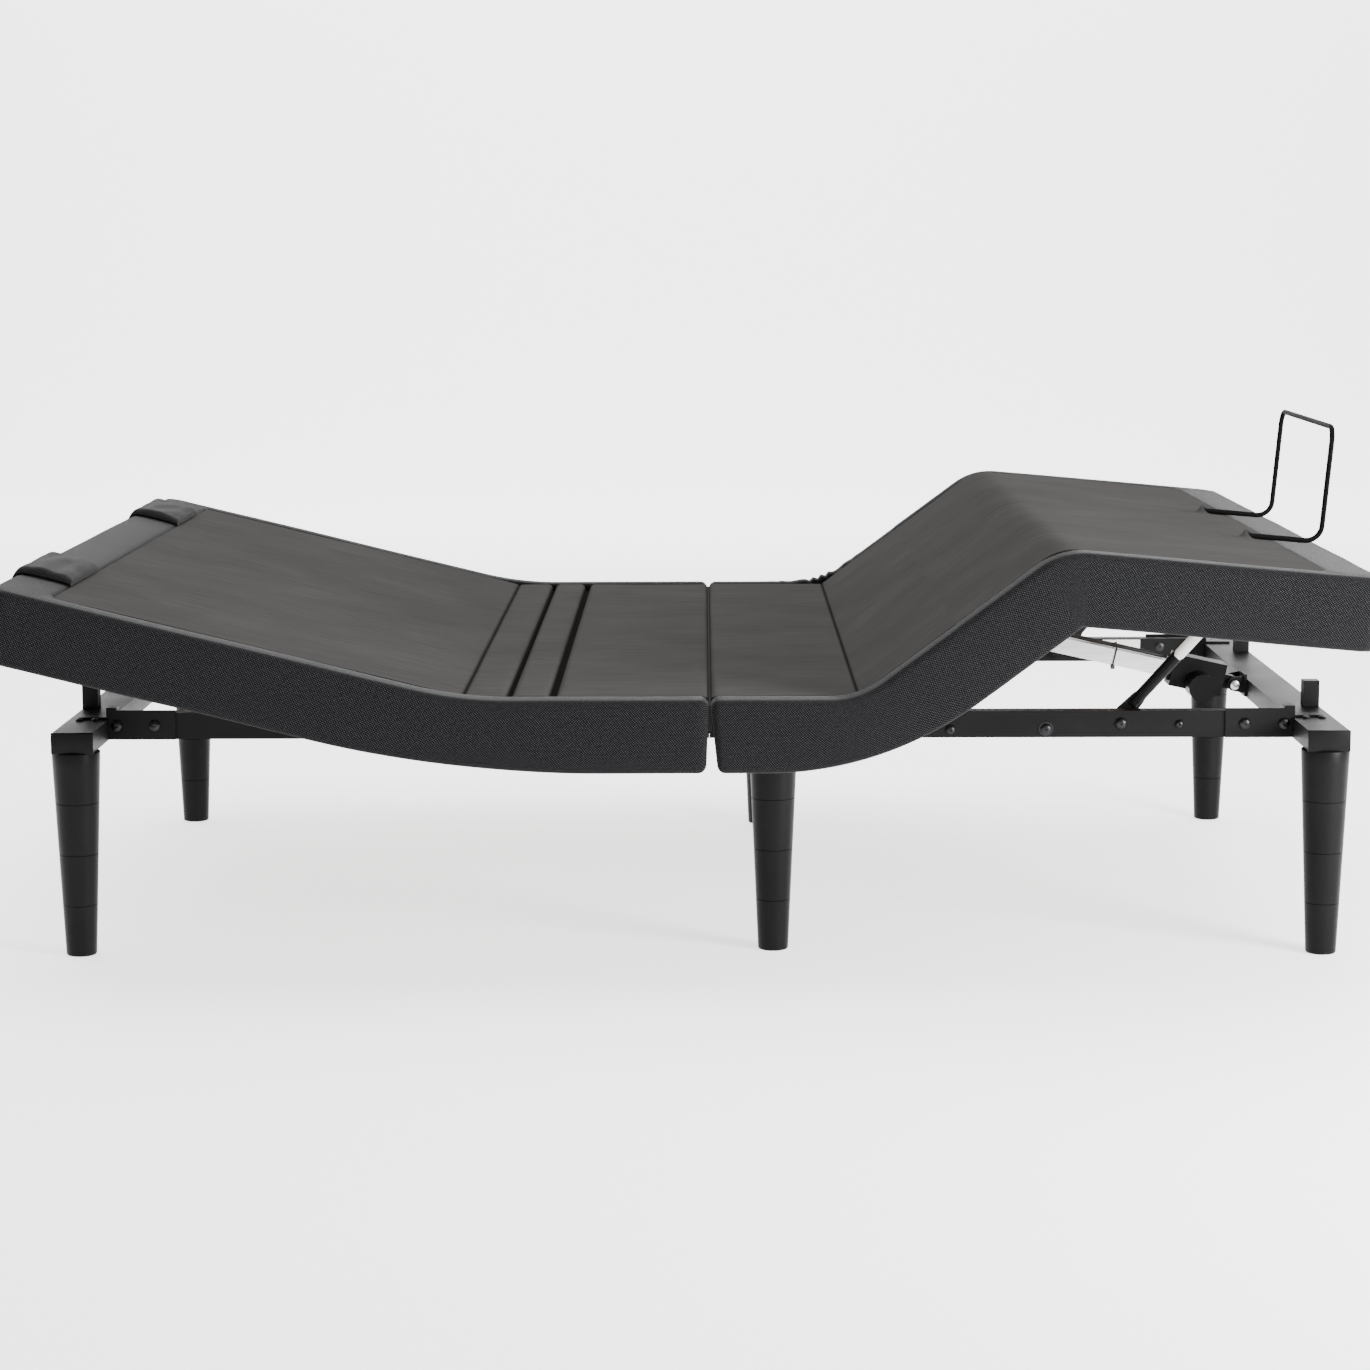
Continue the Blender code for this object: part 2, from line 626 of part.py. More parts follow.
def retainer(parent):
    """A wire hoop that lies on the deck and stands up at the foot edge."""
    z = DECK_SKIN + WIRE_RADIUS + 0.0022
    edge = CALF_LENGTH - 0.004
    top = DECK_SKIN + RETAINER_HEIGHT
    half = RETAINER_HALF
    middle = RETAINER_Y
    bend = RETAINER_BEND
    points = []
    for side in (-1, 1):
        run = [Vector((edge - RETAINER_RUN, middle + side * half, z)),
               Vector((edge - bend, middle + side * half, z))]
        for i in range(1, 7):
            turn = math.radians(15 * i)
            run.append(Vector((edge - bend + bend * math.sin(turn), middle + side * half,
                               z + bend - bend * math.cos(turn))))
        run.append(Vector((edge, middle + side * half, top - bend)))
        for i in range(1, 7):
            turn = math.radians(15 * i)
            run.append(Vector((edge, middle + side * (half - bend + bend * math.cos(turn)),
                               top - bend + bend * math.sin(turn))))
        points += run if side < 0 else list(reversed(run))
    tube("foot_retainer_bar", points, WIRE_RADIUS, "powder_coated_steel", parent)


def strap_loop(name, side, parent):
    """A padded band that arches over a hand space, open at both ends."""
    outer_x = -HEAD_LENGTH + 0.004
    inner_x = outer_x + LOOP_LENGTH
    base = DECK_SKIN + GAP
    middle = (outer_x + inner_x) / 2
    half = LOOP_LENGTH / 2

    def arch(inset):
        points = []
        for i in range(13):
            turn = math.pi * i / 12
            x = middle + (half - inset) * math.cos(turn)
            z = base + (LOOP_HEIGHT - inset) * math.sin(turn) ** 0.6
            points.append((x, z))
        return points

    outline = arch(0.0) + list(reversed(arch(LOOP_WALL)))
    ys = (side * LOOP_Y - LOOP_HALF, side * LOOP_Y + LOOP_HALF)
    solid(name, prism(outline, *ys), "woven_fabric", parent)


# Drives. Each pivot is (x, z) in the base frame; turns are at rest, above level.
FOOT_LIFT = {"pivot": (0.260, 0.325), "reach": 0.200, "roller": 0.020,
             "turn": math.radians(48.44), "clevis": 0.138, "clevis_turn": math.radians(9.5)}
HEAD_LIFT = {"pivot": (-0.395, 0.330), "reach": 0.260, "roller": 0.018,
             "turn": math.radians(19.98), "clevis": 0.110, "clevis_turn": math.radians(9.0)}
FOOT_PIN = (0.852, 0.326)
HEAD_PIN = (-0.8785, 0.326)


def clevis_point(lift, outward):
    """Where the lift arm's clevis pin stands at rest, in the base frame."""
    turn = lift["turn"] + lift["clevis_turn"]
    x, z = lift["pivot"]
    return x + outward * lift["clevis"] * math.cos(turn), z + lift["clevis"] * math.sin(turn)


def reach_and_turn(pin, target):
    """Distance from an actuator's pin to its target, and the rise of that line above level."""
    dx = target[0] - pin[0]
    dz = target[1] - pin[1]
    return math.hypot(dx, dz), math.atan2(dz, abs(dx))


KNEE = (THIGH_HINGE_X + THIGH_LENGTH * math.cos(THIGH_ANGLE),
        HINGE_Z + THIGH_LENGTH * math.sin(THIGH_ANGLE))
CALF_LUG = (KNEE[0] + CALF_LUG_X * math.cos(CALF_ANGLE) - CALF_LUG_DROP * math.sin(CALF_ANGLE),
            KNEE[1] - CALF_LUG_X * math.sin(CALF_ANGLE) - CALF_LUG_DROP * math.cos(CALF_ANGLE))
LINK_LENGTH = math.hypot(CALF_LUG[0] - LINK_FOOT[0], CALF_LUG[1] - LINK_FOOT[1])
LINK_ANGLE = math.atan2(CALF_LUG[1] - LINK_FOOT[1], CALF_LUG[0] - LINK_FOOT[0])


def base_frame(parent):
    end_tube("head_cross_tube", HEAD_TUBE_X, 1, -1, parent)
    end_tube("foot_cross_tube", FOOT_TUBE_X, -1, 1, parent)
    low = (MID_TUBE_X - TUBE_WIDTH / 2, -RAIL_INNER_Y + GAP, LEG_HEIGHT)
    high = (MID_TUBE_X + TUBE_WIDTH / 2, RAIL_INNER_Y - GAP, LEG_HEIGHT + TUBE_HEIGHT)
    solid("mid_cross_tube", box(low, high), "powder_coated_steel", parent,
          cuts=[hollow(low, high, 1)])
    rails(parent)
    for side_name, side in SIDES:
        corner_bracket("corner_bracket_head_" + side_name, HEAD_TUBE_X, 1, side, parent)
        corner_bracket("corner_bracket_foot_" + side_name, FOOT_TUBE_X, -1, side, parent)
        leg("leg_head_" + side_name, HEAD_TUBE_X, side * END_LEG_Y, parent)
        leg("leg_mid_" + side_name, MID_TUBE_X, side * MID_LEG_Y, parent)
        leg("leg_foot_" + side_name, FOOT_TUBE_X, side * END_LEG_Y, parent)
    actuator_bracket("head_actuator_bracket", HEAD_PIN, HEAD_TUBE_X, 1, parent)
    actuator_bracket("foot_actuator_bracket", FOOT_PIN, FOOT_TUBE_X, -1, parent)


def seat(parent):
    seat_frame("seat_frame_head", HEAD_HINGE_X, -SEAM_HALF, HEAD_HINGE_X, (-0.300, -0.100), parent)
    seat_frame("seat_frame_foot", SEAM_HALF, THIGH_HINGE_X, THIGH_HINGE_X, (0.030, 0.175), parent)
    edges = (HEAD_HINGE_X + BOARD_SETBACK, -0.2885, -0.2785, -0.2285, -0.2155, -SEAM_HALF)
    board("seat_slat_head", edges[0], edges[1], HINGE_Z, parent)
    board("seat_slat_middle", edges[2], edges[3], HINGE_Z, parent)
    board("seat_board_head", edges[4], edges[5], HINGE_Z, parent)
    board("seat_board_foot", SEAM_HALF, THIGH_HINGE_X - BOARD_SETBACK, HINGE_Z, parent)
    for side_name, side in SIDES:
        side_border("seat_border_head_" + side_name,
                    border_outline(HEAD_HINGE_X + 0.0085, -SEAM_HALF, HINGE_Z), side, parent)
        side_border("seat_border_foot_" + side_name,
                    border_outline(SEAM_HALF, THIGH_HINGE_X - 0.006, HINGE_Z), side, parent)
    hinge_rod("hinge_rod_head", HEAD_HINGE_X, HINGE_Z, parent)
    hinge_rod("hinge_rod_thigh", THIGH_HINGE_X, HINGE_Z, parent)
    solid("control_box", box((0.130, 0.070, 0.331), (0.228, 0.260, 0.3752)), "black_plastic", parent)
    solid("power_supply", box((-0.230, -0.250, 0.333), (-0.130, -0.080, 0.3752)),
          "black_plastic", parent)


def head_section(parent):
    section_frame("head_frame", -1, HEAD_LENGTH, ((0.040, BEAM_Y), (0.350, 0.50), (0.600, 0.50)), parent)
    board("head_board", -HEAD_LENGTH + BORDER_WIDTH + 0.001, -BOARD_SETBACK, 0.0, parent)
    wrap_border("head_border", border_outline(-0.0085, -HEAD_LENGTH, 0.0), -HEAD_LENGTH, parent)
    for side_name, side in SIDES:
        strap_loop("head_strap_loop_" + side_name, side, parent)


def thigh_section(parent):
    section_frame("thigh_frame", 1, THIGH_LENGTH, ((0.070, BEAM_Y), (0.275, 0.50)), parent, far_lug=True)
    board("thigh_board", BOARD_SETBACK, THIGH_LENGTH - KNEE_SETBACK, 0.0, parent)
    for side_name, side in SIDES:
        outline = border_outline(0.006, THIGH_LENGTH - 0.002, 0.0, lean_end=0.0425)
        side_border("thigh_border_" + side_name, outline, side, parent)
    hinge_rod("hinge_rod_knee", THIGH_LENGTH, 0.0, parent)


def calf_section(parent):
    section_frame("calf_frame", 1, CALF_LENGTH, ((0.060, 0.50), (CALF_LUG_X, 0.3925), (0.380, 0.50)),
                  parent, joined=calf_link_lugs())
    board("calf_board", KNEE_SETBACK, CALF_LENGTH - BORDER_WIDTH - 0.001, 0.0, parent)
    wrap_border("calf_border", border_outline(0.002, CALF_LENGTH, 0.0, lean_start=0.0425),
                CALF_LENGTH, parent)
    retainer(parent)


def leads(base, foot_actuator):
    """The motor lead: from the control box to the foot drive, and along the drive's profile."""
    route = ((0.2298, 0.090, 0.356), (0.242, 0.090, 0.356), (0.300, 0.066, 0.357),
             (0.360, 0.044, 0.354), (0.420, 0.032, 0.360))
    tube("foot_motor_lead", smooth_path(route), LEAD_RADIUS, "cable_jacket", base)
    height = PROFILE_HEIGHT / 2 + LEAD_RADIUS + 0.0006
    run = ((-0.118, 0.007, height), (-0.200, 0.006, height), (-0.270, 0.006, height),
           (-0.325, 0.008, height))
    tube("foot_actuator_lead", smooth_path(run), LEAD_RADIUS, "cable_jacket", foot_actuator)
    route = ((-0.2322, -0.120, 0.354), (-0.246, -0.120, 0.354), (-0.330, -0.080, 0.355),
             (-0.395, -0.055, 0.3585), (-0.460, -0.040, 0.352))
    tube("head_motor_lead", smooth_path(route), LEAD_RADIUS, "cable_jacket", base)


def main():
    clear_scene()
    base = empty("base", (ORIGIN_SHIFT, 0.0, 0.0))
    base_frame(base)
    seat(base)
    head_section(empty("head_hinge", (HEAD_HINGE_X, 0, HINGE_Z), HEAD_ANGLE, base))
    thigh_hinge = empty("thigh_hinge", (THIGH_HINGE_X, 0, HINGE_Z), -THIGH_ANGLE, base)
    thigh_section(thigh_hinge)
    calf_section(empty("knee_hinge", (THIGH_LENGTH, 0, 0), THIGH_ANGLE + CALF_ANGLE, thigh_hinge))
    link_pivot = empty("link_pivot", (LINK_FOOT[0], 0, LINK_FOOT[1]), -LINK_ANGLE, base)
    for side_name, side in SIDES:
        link("foot_link_" + side_name, side, link_pivot)
    for prefix, lift, pin, outward in (("head", HEAD_LIFT, HEAD_PIN, -1), ("foot", FOOT_LIFT, FOOT_PIN, 1)):
        x, z = lift["pivot"]
        lift_arm(prefix + "_lift_arm", lift, outward,
                 empty(prefix + "_lift_pivot", (x, 0, z), -outward * lift["turn"], base))
        reach, rise = reach_and_turn(pin, clevis_point(lift, outward))
        pivot = empty(prefix + "_actuator_pivot", (pin[0], 0, pin[1]), outward * rise, base)
        slack = 0.0165 if outward > 0 else 0.0215
        profile = 0.340 if outward > 0 else 0.300
        drive = {"profile": profile, "reach": reach, "slack": slack, "rod_start": profile - 0.100}
        actuator(prefix, drive, outward, pivot, pivot)
        if outward > 0:
            leads(base, pivot)


main()
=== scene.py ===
import json
import math

import bmesh
import bpy
from mathutils import Matrix, Vector, noise


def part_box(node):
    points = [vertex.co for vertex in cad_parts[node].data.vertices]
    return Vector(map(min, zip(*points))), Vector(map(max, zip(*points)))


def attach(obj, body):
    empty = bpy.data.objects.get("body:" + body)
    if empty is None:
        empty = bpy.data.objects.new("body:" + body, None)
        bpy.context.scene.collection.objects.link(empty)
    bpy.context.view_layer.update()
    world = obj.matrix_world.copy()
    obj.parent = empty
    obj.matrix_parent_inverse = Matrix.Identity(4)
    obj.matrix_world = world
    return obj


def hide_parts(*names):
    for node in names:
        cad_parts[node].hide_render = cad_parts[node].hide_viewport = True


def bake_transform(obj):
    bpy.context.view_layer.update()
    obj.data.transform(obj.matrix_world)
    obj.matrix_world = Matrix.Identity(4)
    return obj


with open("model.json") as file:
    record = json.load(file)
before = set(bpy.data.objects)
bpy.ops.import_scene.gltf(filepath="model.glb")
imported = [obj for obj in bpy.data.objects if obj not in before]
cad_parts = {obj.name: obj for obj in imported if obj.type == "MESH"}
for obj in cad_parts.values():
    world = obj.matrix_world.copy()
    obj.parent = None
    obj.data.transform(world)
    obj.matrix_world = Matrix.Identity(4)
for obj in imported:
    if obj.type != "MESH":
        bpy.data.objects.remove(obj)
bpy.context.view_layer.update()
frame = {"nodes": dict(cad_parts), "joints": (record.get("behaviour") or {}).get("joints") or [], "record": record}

NODES = frame["nodes"]
JOINTS = {j["name"]: j for j in frame["joints"]}

# Heights over the hinge line of a deck section, in metres
TOP = 0.0143
LOW = -0.0902
COVER_TOP = 0.0136
COVER_UNDER = 0.0105
CHANNEL_FLOOR = 0.0012

# Widths across the bed and round the border
HALF = 0.762
BORDER = 0.050
SEAM_Y = HALF - 0.0490
BAND = 0.082
CORNER_RADIUS = 0.030
LOW_ROUND = 0.008
TOP_ROUND = 0.0105
GAP_ROUND = 0.012

# Distances along the sections, from the hinge that each half folds at
HEAD_REACH = 0.677
THIGH_REACH = 0.348
FOOT_REACH = THIGH_REACH + 0.450
MID_THIGH = THIGH_REACH / 2
HEAD_GAP = 0.3485
FOOT_GAP = -0.2125
PANEL_INSET = 0.0020
SEAT_CHANNELS = ((0.0615, 0.0715), (0.1215, 0.1345))
LIP_U = FOOT_REACH - 0.119

# Side faces that hardware sits on
RAIL_INNER = 0.4100
RAIL_OUTER = 0.4352
BRACKET_FACE = 0.4390
BRACKET_BOLT_Z = 0.3260
LINK_Y = 0.3985
SIDES = (("near", -1), ("far", 1))


def pivot(joint):
    """A joint's place in the XZ plane."""
    x, _, z = JOINTS[joint]["pos_m"]
    return Vector((x, z))


HEAD_TILT = -math.radians(JOINTS["head_fold"]["range_deg"][0])
THIGH_TILT = -math.radians(JOINTS["thigh_fold"]["range_deg"][0])
CALF_TILT = math.radians(5.17)

# A corner: pivot, direction before and after it, half length of the bend at the top and at the bottom
HEAD_BEND = (pivot("head_fold"), -HEAD_TILT, 0.0, 0.070, 0.190)
THIGH_BEND = (pivot("thigh_fold"), 0.0, THIGH_TILT, 0.045, 0.135)
KNEE_BEND = (pivot("knee_fold"), THIGH_TILT, -CALF_TILT, 0.036, 0.036)
HEAD_CREASE = HEAD_BEND[:3] + (0.012, 0.012)
THIGH_CREASE = THIGH_BEND[:3] + (0.014, 0.014)
KNEE_COVER = KNEE_BEND[:3] + (0.024, 0.024)


def heading(angle):
    return Vector((math.cos(angle), math.sin(angle)))


def upright(angle):
    return Vector((-math.sin(angle), math.cos(angle)))


def bend_point(corner, u, h):
    """The place of a point at distance u past the corner and height h, on a line that rounds the corner."""
    point, before, after, wide_top, wide_low = corner
    share = min(max((TOP - h) / (TOP - LOW), 0.0), 1.0)
    wide = wide_top + (wide_low - wide_top) * share
    if u <= -wide:
        return point + heading(before) * u + upright(before) * h
    if u >= wide:
        return point + heading(after) * u + upright(after) * h
    turn = after - before
    way = math.copysign(1.0, turn)
    radius = wide / math.tan(abs(turn) / 2)
    centre = point - heading(before) * wide + upright(before) * (way * radius)
    angle = before + turn * (u + wide) / (2 * wide)
    return centre + upright(angle) * (h - way * radius)


def head_half(bend):
    return lambda u, h: bend_point(bend, u, h)


def foot_half(first, second):
    def place(u, h):
        if u < MID_THIGH:
            return bend_point(first, u, h)
        return bend_point(second, u - THIGH_REACH, h)
    return place


def frange(start, stop, step):
    """Even steps of about the given size, both ends included."""
    count = max(1, round(abs(stop - start) / step))
    return [start + (stop - start) * i / count for i in range(count + 1)]


def ripple(a, b, seed, size):
    return size * noise.noise(Vector((a, b, seed)))


def ease(t):
    t = min(max(t, 0.0), 1.0)
    return t * t * (3 - 2 * t)


# Mesh building

def finish_mesh(name, bm, smooth=50.0):
    bmesh.ops.remove_doubles(bm, verts=bm.verts, dist=1e-6)
    bmesh.ops.dissolve_degenerate(bm, dist=1e-6, edges=bm.edges)
    bmesh.ops.recalc_face_normals(bm, faces=bm.faces)
    mesh = bpy.data.meshes.new(name)
    bm.to_mesh(mesh)
    bm.free()
    mesh.shade_smooth()
    mesh.set_sharp_from_angle(angle=math.radians(smooth))
    obj = bpy.data.objects.new(name, mesh)
    bpy.context.scene.collection.objects.link(obj)
    return obj


def lofted(name, rings, uvs, shades=None):
    """Joins closed rings of points into a solid with flat ends; each ring has one more uv than points."""
    bm = bmesh.new()
    layer = bm.loops.layers.uv.new("weave")
    # The shade layer holds painted shade for the cloth materials.
    shade = bm.verts.layers.float.new("shade")
    rows = []
    for i, ring in enumerate(rings):
        row = [bm.verts.new(p) for p in ring]
        if shades:
            for vert, value in zip(row, shades[i]):
                vert[shade] = value
        rows.append(row)
    count = len(rings[0])
    for i in range(len(rows) - 1):
        for j in range(count):
            k = (j + 1) % count
            face = bm.faces.new((rows[i][j], rows[i][k], rows[i + 1][k], rows[i + 1][j]))
            corners = (uvs[i][j], uvs[i][j + 1], uvs[i + 1][j + 1], uvs[i + 1][j])
            for loop, uv in zip(face.loops, corners):
                loop[layer].uv = uv
    bm.faces.new(rows[0])
    bm.faces.new(rows[-1])
    return finish_mesh(name, bm)


def lathe(name, profile, origin, axis="Z", sides=48):
    """A turned piece: profile is (radius, height) along the axis, from the origin."""
    bm = bmesh.new()
    rings = []
    for radius, height in profile:
        ring = []
        for i in range(sides):
            turn = 2 * math.pi * i / sides
            ring.append(bm.verts.new((radius * math.cos(turn), radius * math.sin(turn), height)))
        rings.append(ring)
    for low, high in zip(rings, rings[1:]):
        for i in range(sides):
            k = (i + 1) % sides
            bm.faces.new((low[i], low[k], high[k], high[i]))
    bm.faces.new(rings[0])
    bm.faces.new(rings[-1])
    turns = {"Z": Matrix.Identity(4),
             "-Y": Matrix.Rotation(math.pi / 2, 4, "X"),
             "Y": Matrix.Rotation(-math.pi / 2, 4, "X")}
    bmesh.ops.transform(bm, matrix=Matrix.Translation(origin) @ turns[axis], verts=bm.verts)
    return finish_mesh(name, bm, smooth=32.0)


def rounded_block(name, low, high, radius):
    """A box between two corners with its edges rounded."""
    bm = bmesh.new()
    bmesh.ops.create_cube(bm, size=1.0)
    low, high = Vector(low), Vector(high)
    for vert in bm.verts:
        vert.co = Vector(((low[k] + high[k]) / 2 + vert.co[k] * (high[k] - low[k]) for k in range(3)))
    bmesh.ops.bevel(bm, geom=bm.edges[:], offset=radius, segments=3, profile=0.5, affect="EDGES")
    return finish_mesh(name, bm, smooth=60.0)


def smooth_points(points, steps=8):
    """Points on a smooth curve through the given ones."""
    pts = [Vector(p) for p in points]
    pts = [pts[0] * 2 - pts[1]] + pts + [pts[-1] * 2 - pts[-2]]
    made = []
    for a, b, c, d in zip(pts, pts[1:], pts[2:], pts[3:]):
        for i in range(steps):
            t = i / steps
            made.append(0.5 * (2 * b + (c - a) * t + (2 * a - 5 * b + 4 * c - d) * t * t
                               + (3 * b - a - 3 * c + d) * t ** 3))
    made.append(pts[-2])
    return made


def wire(name, points, radius, sides=16, up=(0, 0, 1)):
    """A round bar or cable along the points."""
    rings, uvs, way = [], [], 0.0
    across = Vector(up)
    for i, point in enumerate(points):
        ahead = points[min(i + 1, len(points) - 1)] - points[max(i - 1, 0)]
        ahead.normalize()
        across = (across - ahead * across.dot(ahead)).normalized()
        side = ahead.cross(across)
        if i:
            way += (point - points[i - 1]).length
        ring = []
        for k in range(sides):
            turn = 2 * math.pi * k / sides
            ring.append(point + across * (radius * math.cos(turn)) + side * (radius * math.sin(turn)))
        rings.append(ring)
        uvs.append([(way, 2 * math.pi * radius * k / sides) for k in range(sides + 1)])
    return lofted(name, rings, uvs)


# Materials

def new_material(name, values):
    mat = bpy.data.materials.new(name)
    mat.use_nodes = True
    shader = mat.node_tree.nodes["Principled BSDF"]
    for key, value in values.items():
        shader.inputs[key].default_value = value
    return mat, mat.node_tree, shader


def add(tree, kind, values=None, **settings):
    node = tree.nodes.new(kind)
    for key, value in settings.items():
        setattr(node, key, value)
    for key, value in (values or {}).items():
        node.inputs[key].default_value = value
    return node


def math_node(tree, operation, first, second):
    node = add(tree, "ShaderNodeMath", operation=operation)
    for socket, value in zip(node.inputs, (first, second)):
        if isinstance(value, bpy.types.NodeSocket):
            tree.links.new(value, socket)
        else:
            socket.default_value = value
    return node.outputs[0]


def ramp(tree, source, stops):
    node = add(tree, "ShaderNodeValToRGB")
    elements = node.color_ramp.elements
    while len(elements) < len(stops):
        elements.new(0.5)
    for element, (place, colour) in zip(elements, stops):
        element.position = place
        element.color = (*colour, 1.0)
    tree.links.new(source, node.inputs["Fac"])
    return node.outputs["Color"]


def mapped(tree, source, scale, turn=0.0):
    coords = add(tree, "ShaderNodeUVMap", uv_map="weave") if source == "weave" \
        else add(tree, "ShaderNodeTexCoord")
    move = add(tree, "ShaderNodeMapping")
    move.inputs["Scale"].default_value = scale
    move.inputs["Rotation"].default_value = (0, 0, turn)
    tree.links.new(coords.outputs["UV" if source == "weave" else "Object"], move.inputs["Vector"])
    return move.outputs["Vector"]


def texture(tree, kind, vector, values):
    node = add(tree, kind, values)
    tree.links.new(vector, node.inputs["Vector"])
    return node.outputs["Fac"]


def bump(tree, shader, height, strength, distance):
    node = add(tree, "ShaderNodeBump", {"Strength": strength, "Distance": distance})
    tree.links.new(height, node.inputs["Height"])
    tree.links.new(node.outputs["Normal"], shader.inputs["Normal"])


def shaded(tree, colour, amount):
    """Painted shade: darkens a colour where the mesh's painted shade is high, as in seams, creases, channels,
    slits and under the strap loops.
    """
    layer = add(tree, "ShaderNodeAttribute", attribute_name="shade")
    mix = add(tree, "ShaderNodeMix", data_type="RGBA", blend_type="MULTIPLY")
    mix.inputs["B"].default_value = (amount, amount, amount, 1)
    tree.links.new(layer.outputs["Fac"], mix.inputs["Factor"])
    tree.links.new(colour, mix.inputs["A"])
    return mix.outputs["Result"]


def twill():
    """Dark grey cloth with a fine diagonal rib."""
    mat, tree, shader = new_material("charcoal_twill", {
        "Roughness": 0.95, "Specular IOR Level": 0.04, "Sheen Weight": 0.10, "Sheen Roughness": 0.35})
    plane = mapped(tree, "weave", (1, 1, 1))
    drift = texture(tree, "ShaderNodeTexNoise", plane, {"Scale": 260.0, "Detail": 3.0})
    ribs = texture(tree, "ShaderNodeTexWave", mapped(tree, "weave", (1, 1, 1), math.radians(52)),
                   {"Scale": 132.0, "Distortion": 1.2, "Detail": 1.0, "Detail Scale": 1.6})
    threads = texture(tree, "ShaderNodeTexWave", mapped(tree, "weave", (1, 1, 1), math.radians(-38)),
                      {"Scale": 106.0, "Distortion": 1.0, "Detail": 1.0, "Detail Scale": 1.4})
    broken = math_node(tree, "ADD", math_node(tree, "MULTIPLY", threads, 0.6), 0.4)
    weave = math_node(tree, "MULTIPLY", ribs, broken)
    mottled = math_node(tree, "ADD", math_node(tree, "MULTIPLY", weave, 0.72),
                        math_node(tree, "MULTIPLY", drift, 0.36))
    colour = ramp(tree, mottled, ((0.16, (0.0009, 0.0009, 0.0010)), (0.50, (0.0064, 0.0064, 0.0070)),
                                  (0.92, (0.054, 0.0542, 0.0575))))
    # The base colour carries painted shade from the mesh's shade attribute.
    tree.links.new(shaded(tree, colour, 0.25), shader.inputs["Base Color"])
    bump(tree, shader, weave, 0.45, 0.0007)
    return mat


def deck_cloth():
    """Smooth dark cloth with faint slubs across the bed."""
    mat, tree, shader = new_material("deck_cloth", {
        "Roughness": 0.95, "Specular IOR Level": 0.0, "Sheen Weight": 0.02, "Sheen Roughness": 0.5})
    fine = texture(tree, "ShaderNodeTexNoise", mapped(tree, "weave", (1, 1, 1)),
                   {"Scale": 900.0, "Detail": 2.0})
    slub = texture(tree, "ShaderNodeTexNoise", mapped(tree, "weave", (9, 120, 1)),
                   {"Scale": 1.0, "Detail": 4.0, "Roughness": 0.6})
    cloud = texture(tree, "ShaderNodeTexNoise", mapped(tree, "weave", (1, 1, 1)),
                    {"Scale": 5.0, "Detail": 2.0})
    total = math_node(tree, "ADD", math_node(tree, "MULTIPLY", fine, 0.35),
                      math_node(tree, "ADD", math_node(tree, "MULTIPLY", slub, 0.40),
                                math_node(tree, "MULTIPLY", cloud, 0.25)))
    colour = ramp(tree, total, ((0.30, (0.0225, 0.0216, 0.0210)), (0.52, (0.0350, 0.0336, 0.0326)),
                                (0.72, (0.0510, 0.0487, 0.0470))))
    # The base colour carries painted shade from the mesh's shade attribute.
    tree.links.new(shaded(tree, colour, 0.12), shader.inputs["Base Color"])
    bump(tree, shader, math_node(tree, "ADD", fine, slub), 0.25, 0.0006)
    return mat


def coated(name, dark, light, roughness, grain, size, specular=0.5):
    """Paint or moulded plastic: a fine orange peel, and a colour that drifts a little."""
    mat, tree, shader = new_material(name, {"Specular IOR Level": specular})
    plane = mapped(tree, "object", (1, 1, 1))
    peel = texture(tree, "ShaderNodeTexNoise", plane, {"Scale": grain, "Detail": 3.0})
    drift = texture(tree, "ShaderNodeTexNoise", plane, {"Scale": 9.0, "Detail": 4.0})
    total = math_node(tree, "ADD", math_node(tree, "MULTIPLY", peel, 0.5),
                      math_node(tree, "MULTIPLY", drift, 0.5))
    tree.links.new(ramp(tree, total, ((0.35, dark), (0.68, light))), shader.inputs["Base Color"])
    tree.links.new(math_node(tree, "ADD", math_node(tree, "MULTIPLY", drift, 0.16), roughness - 0.08),
                   shader.inputs["Roughness"])
    bump(tree, shader, peel, 0.18, size)
    return mat


def metal(name, colour, roughness, stretch):
    """Bare or plated metal with drawn lines along one axis."""
    mat, tree, shader = new_material(name, {"Metallic": 1.0})
    lines = texture(tree, "ShaderNodeTexNoise", mapped(tree, "object", stretch),
                    {"Scale": 1.0, "Detail": 5.0})
    dim = tuple(0.78 * c for c in colour)
    tree.links.new(ramp(tree, lines, ((0.35, dim), (0.65, colour))), shader.inputs["Base Color"])
    tree.links.new(math_node(tree, "ADD", math_node(tree, "MULTIPLY", lines, 0.22), roughness - 0.11),
                   shader.inputs["Roughness"])
    bump(tree, shader, lines, 0.12, 0.0003)
    return mat


def board_wood():
    mat, tree, shader = new_material("board_wood", {"Roughness": 0.7})
    grain = texture(tree, "ShaderNodeTexNoise", mapped(tree, "object", (60, 3, 60)),
                    {"Scale": 1.0, "Detail": 6.0, "Distortion": 0.6})
    tree.links.new(ramp(tree, grain, ((0.3, (0.16, 0.10, 0.06)), (0.7, (0.34, 0.24, 0.15)))),
                   shader.inputs["Base Color"])
    bump(tree, shader, grain, 0.2, 0.0006)
    return mat


TWILL = twill()
CLOTH = deck_cloth()
STEEL = coated("black_powder_coat", (0.0028, 0.0028, 0.0030), (0.0062, 0.0062, 0.0066),
               0.45, 900.0, 0.0003, 0.09)
PLASTIC = coated("black_moulding", (0.0026, 0.0026, 0.0028), (0.0056, 0.0056, 0.0060),
                 0.38, 1400.0, 0.0002, 0.08)
WIRE = coated("coated_wire", (0.0028, 0.0028, 0.0030), (0.0060, 0.0060, 0.0064),
              0.60, 900.0, 0.0002, 0.02)
JACKET = coated("cable_jacket", (0.005, 0.005, 0.005), (0.011, 0.011, 0.011), 0.5, 600.0, 0.0002)
LABEL = coated("blank_label", (0.62, 0.62, 0.60), (0.74, 0.74, 0.72), 0.55, 300.0, 0.0001)
ALUMINIUM = metal("mill_aluminium", (0.78, 0.79, 0.80), 0.34, (14, 700, 700))
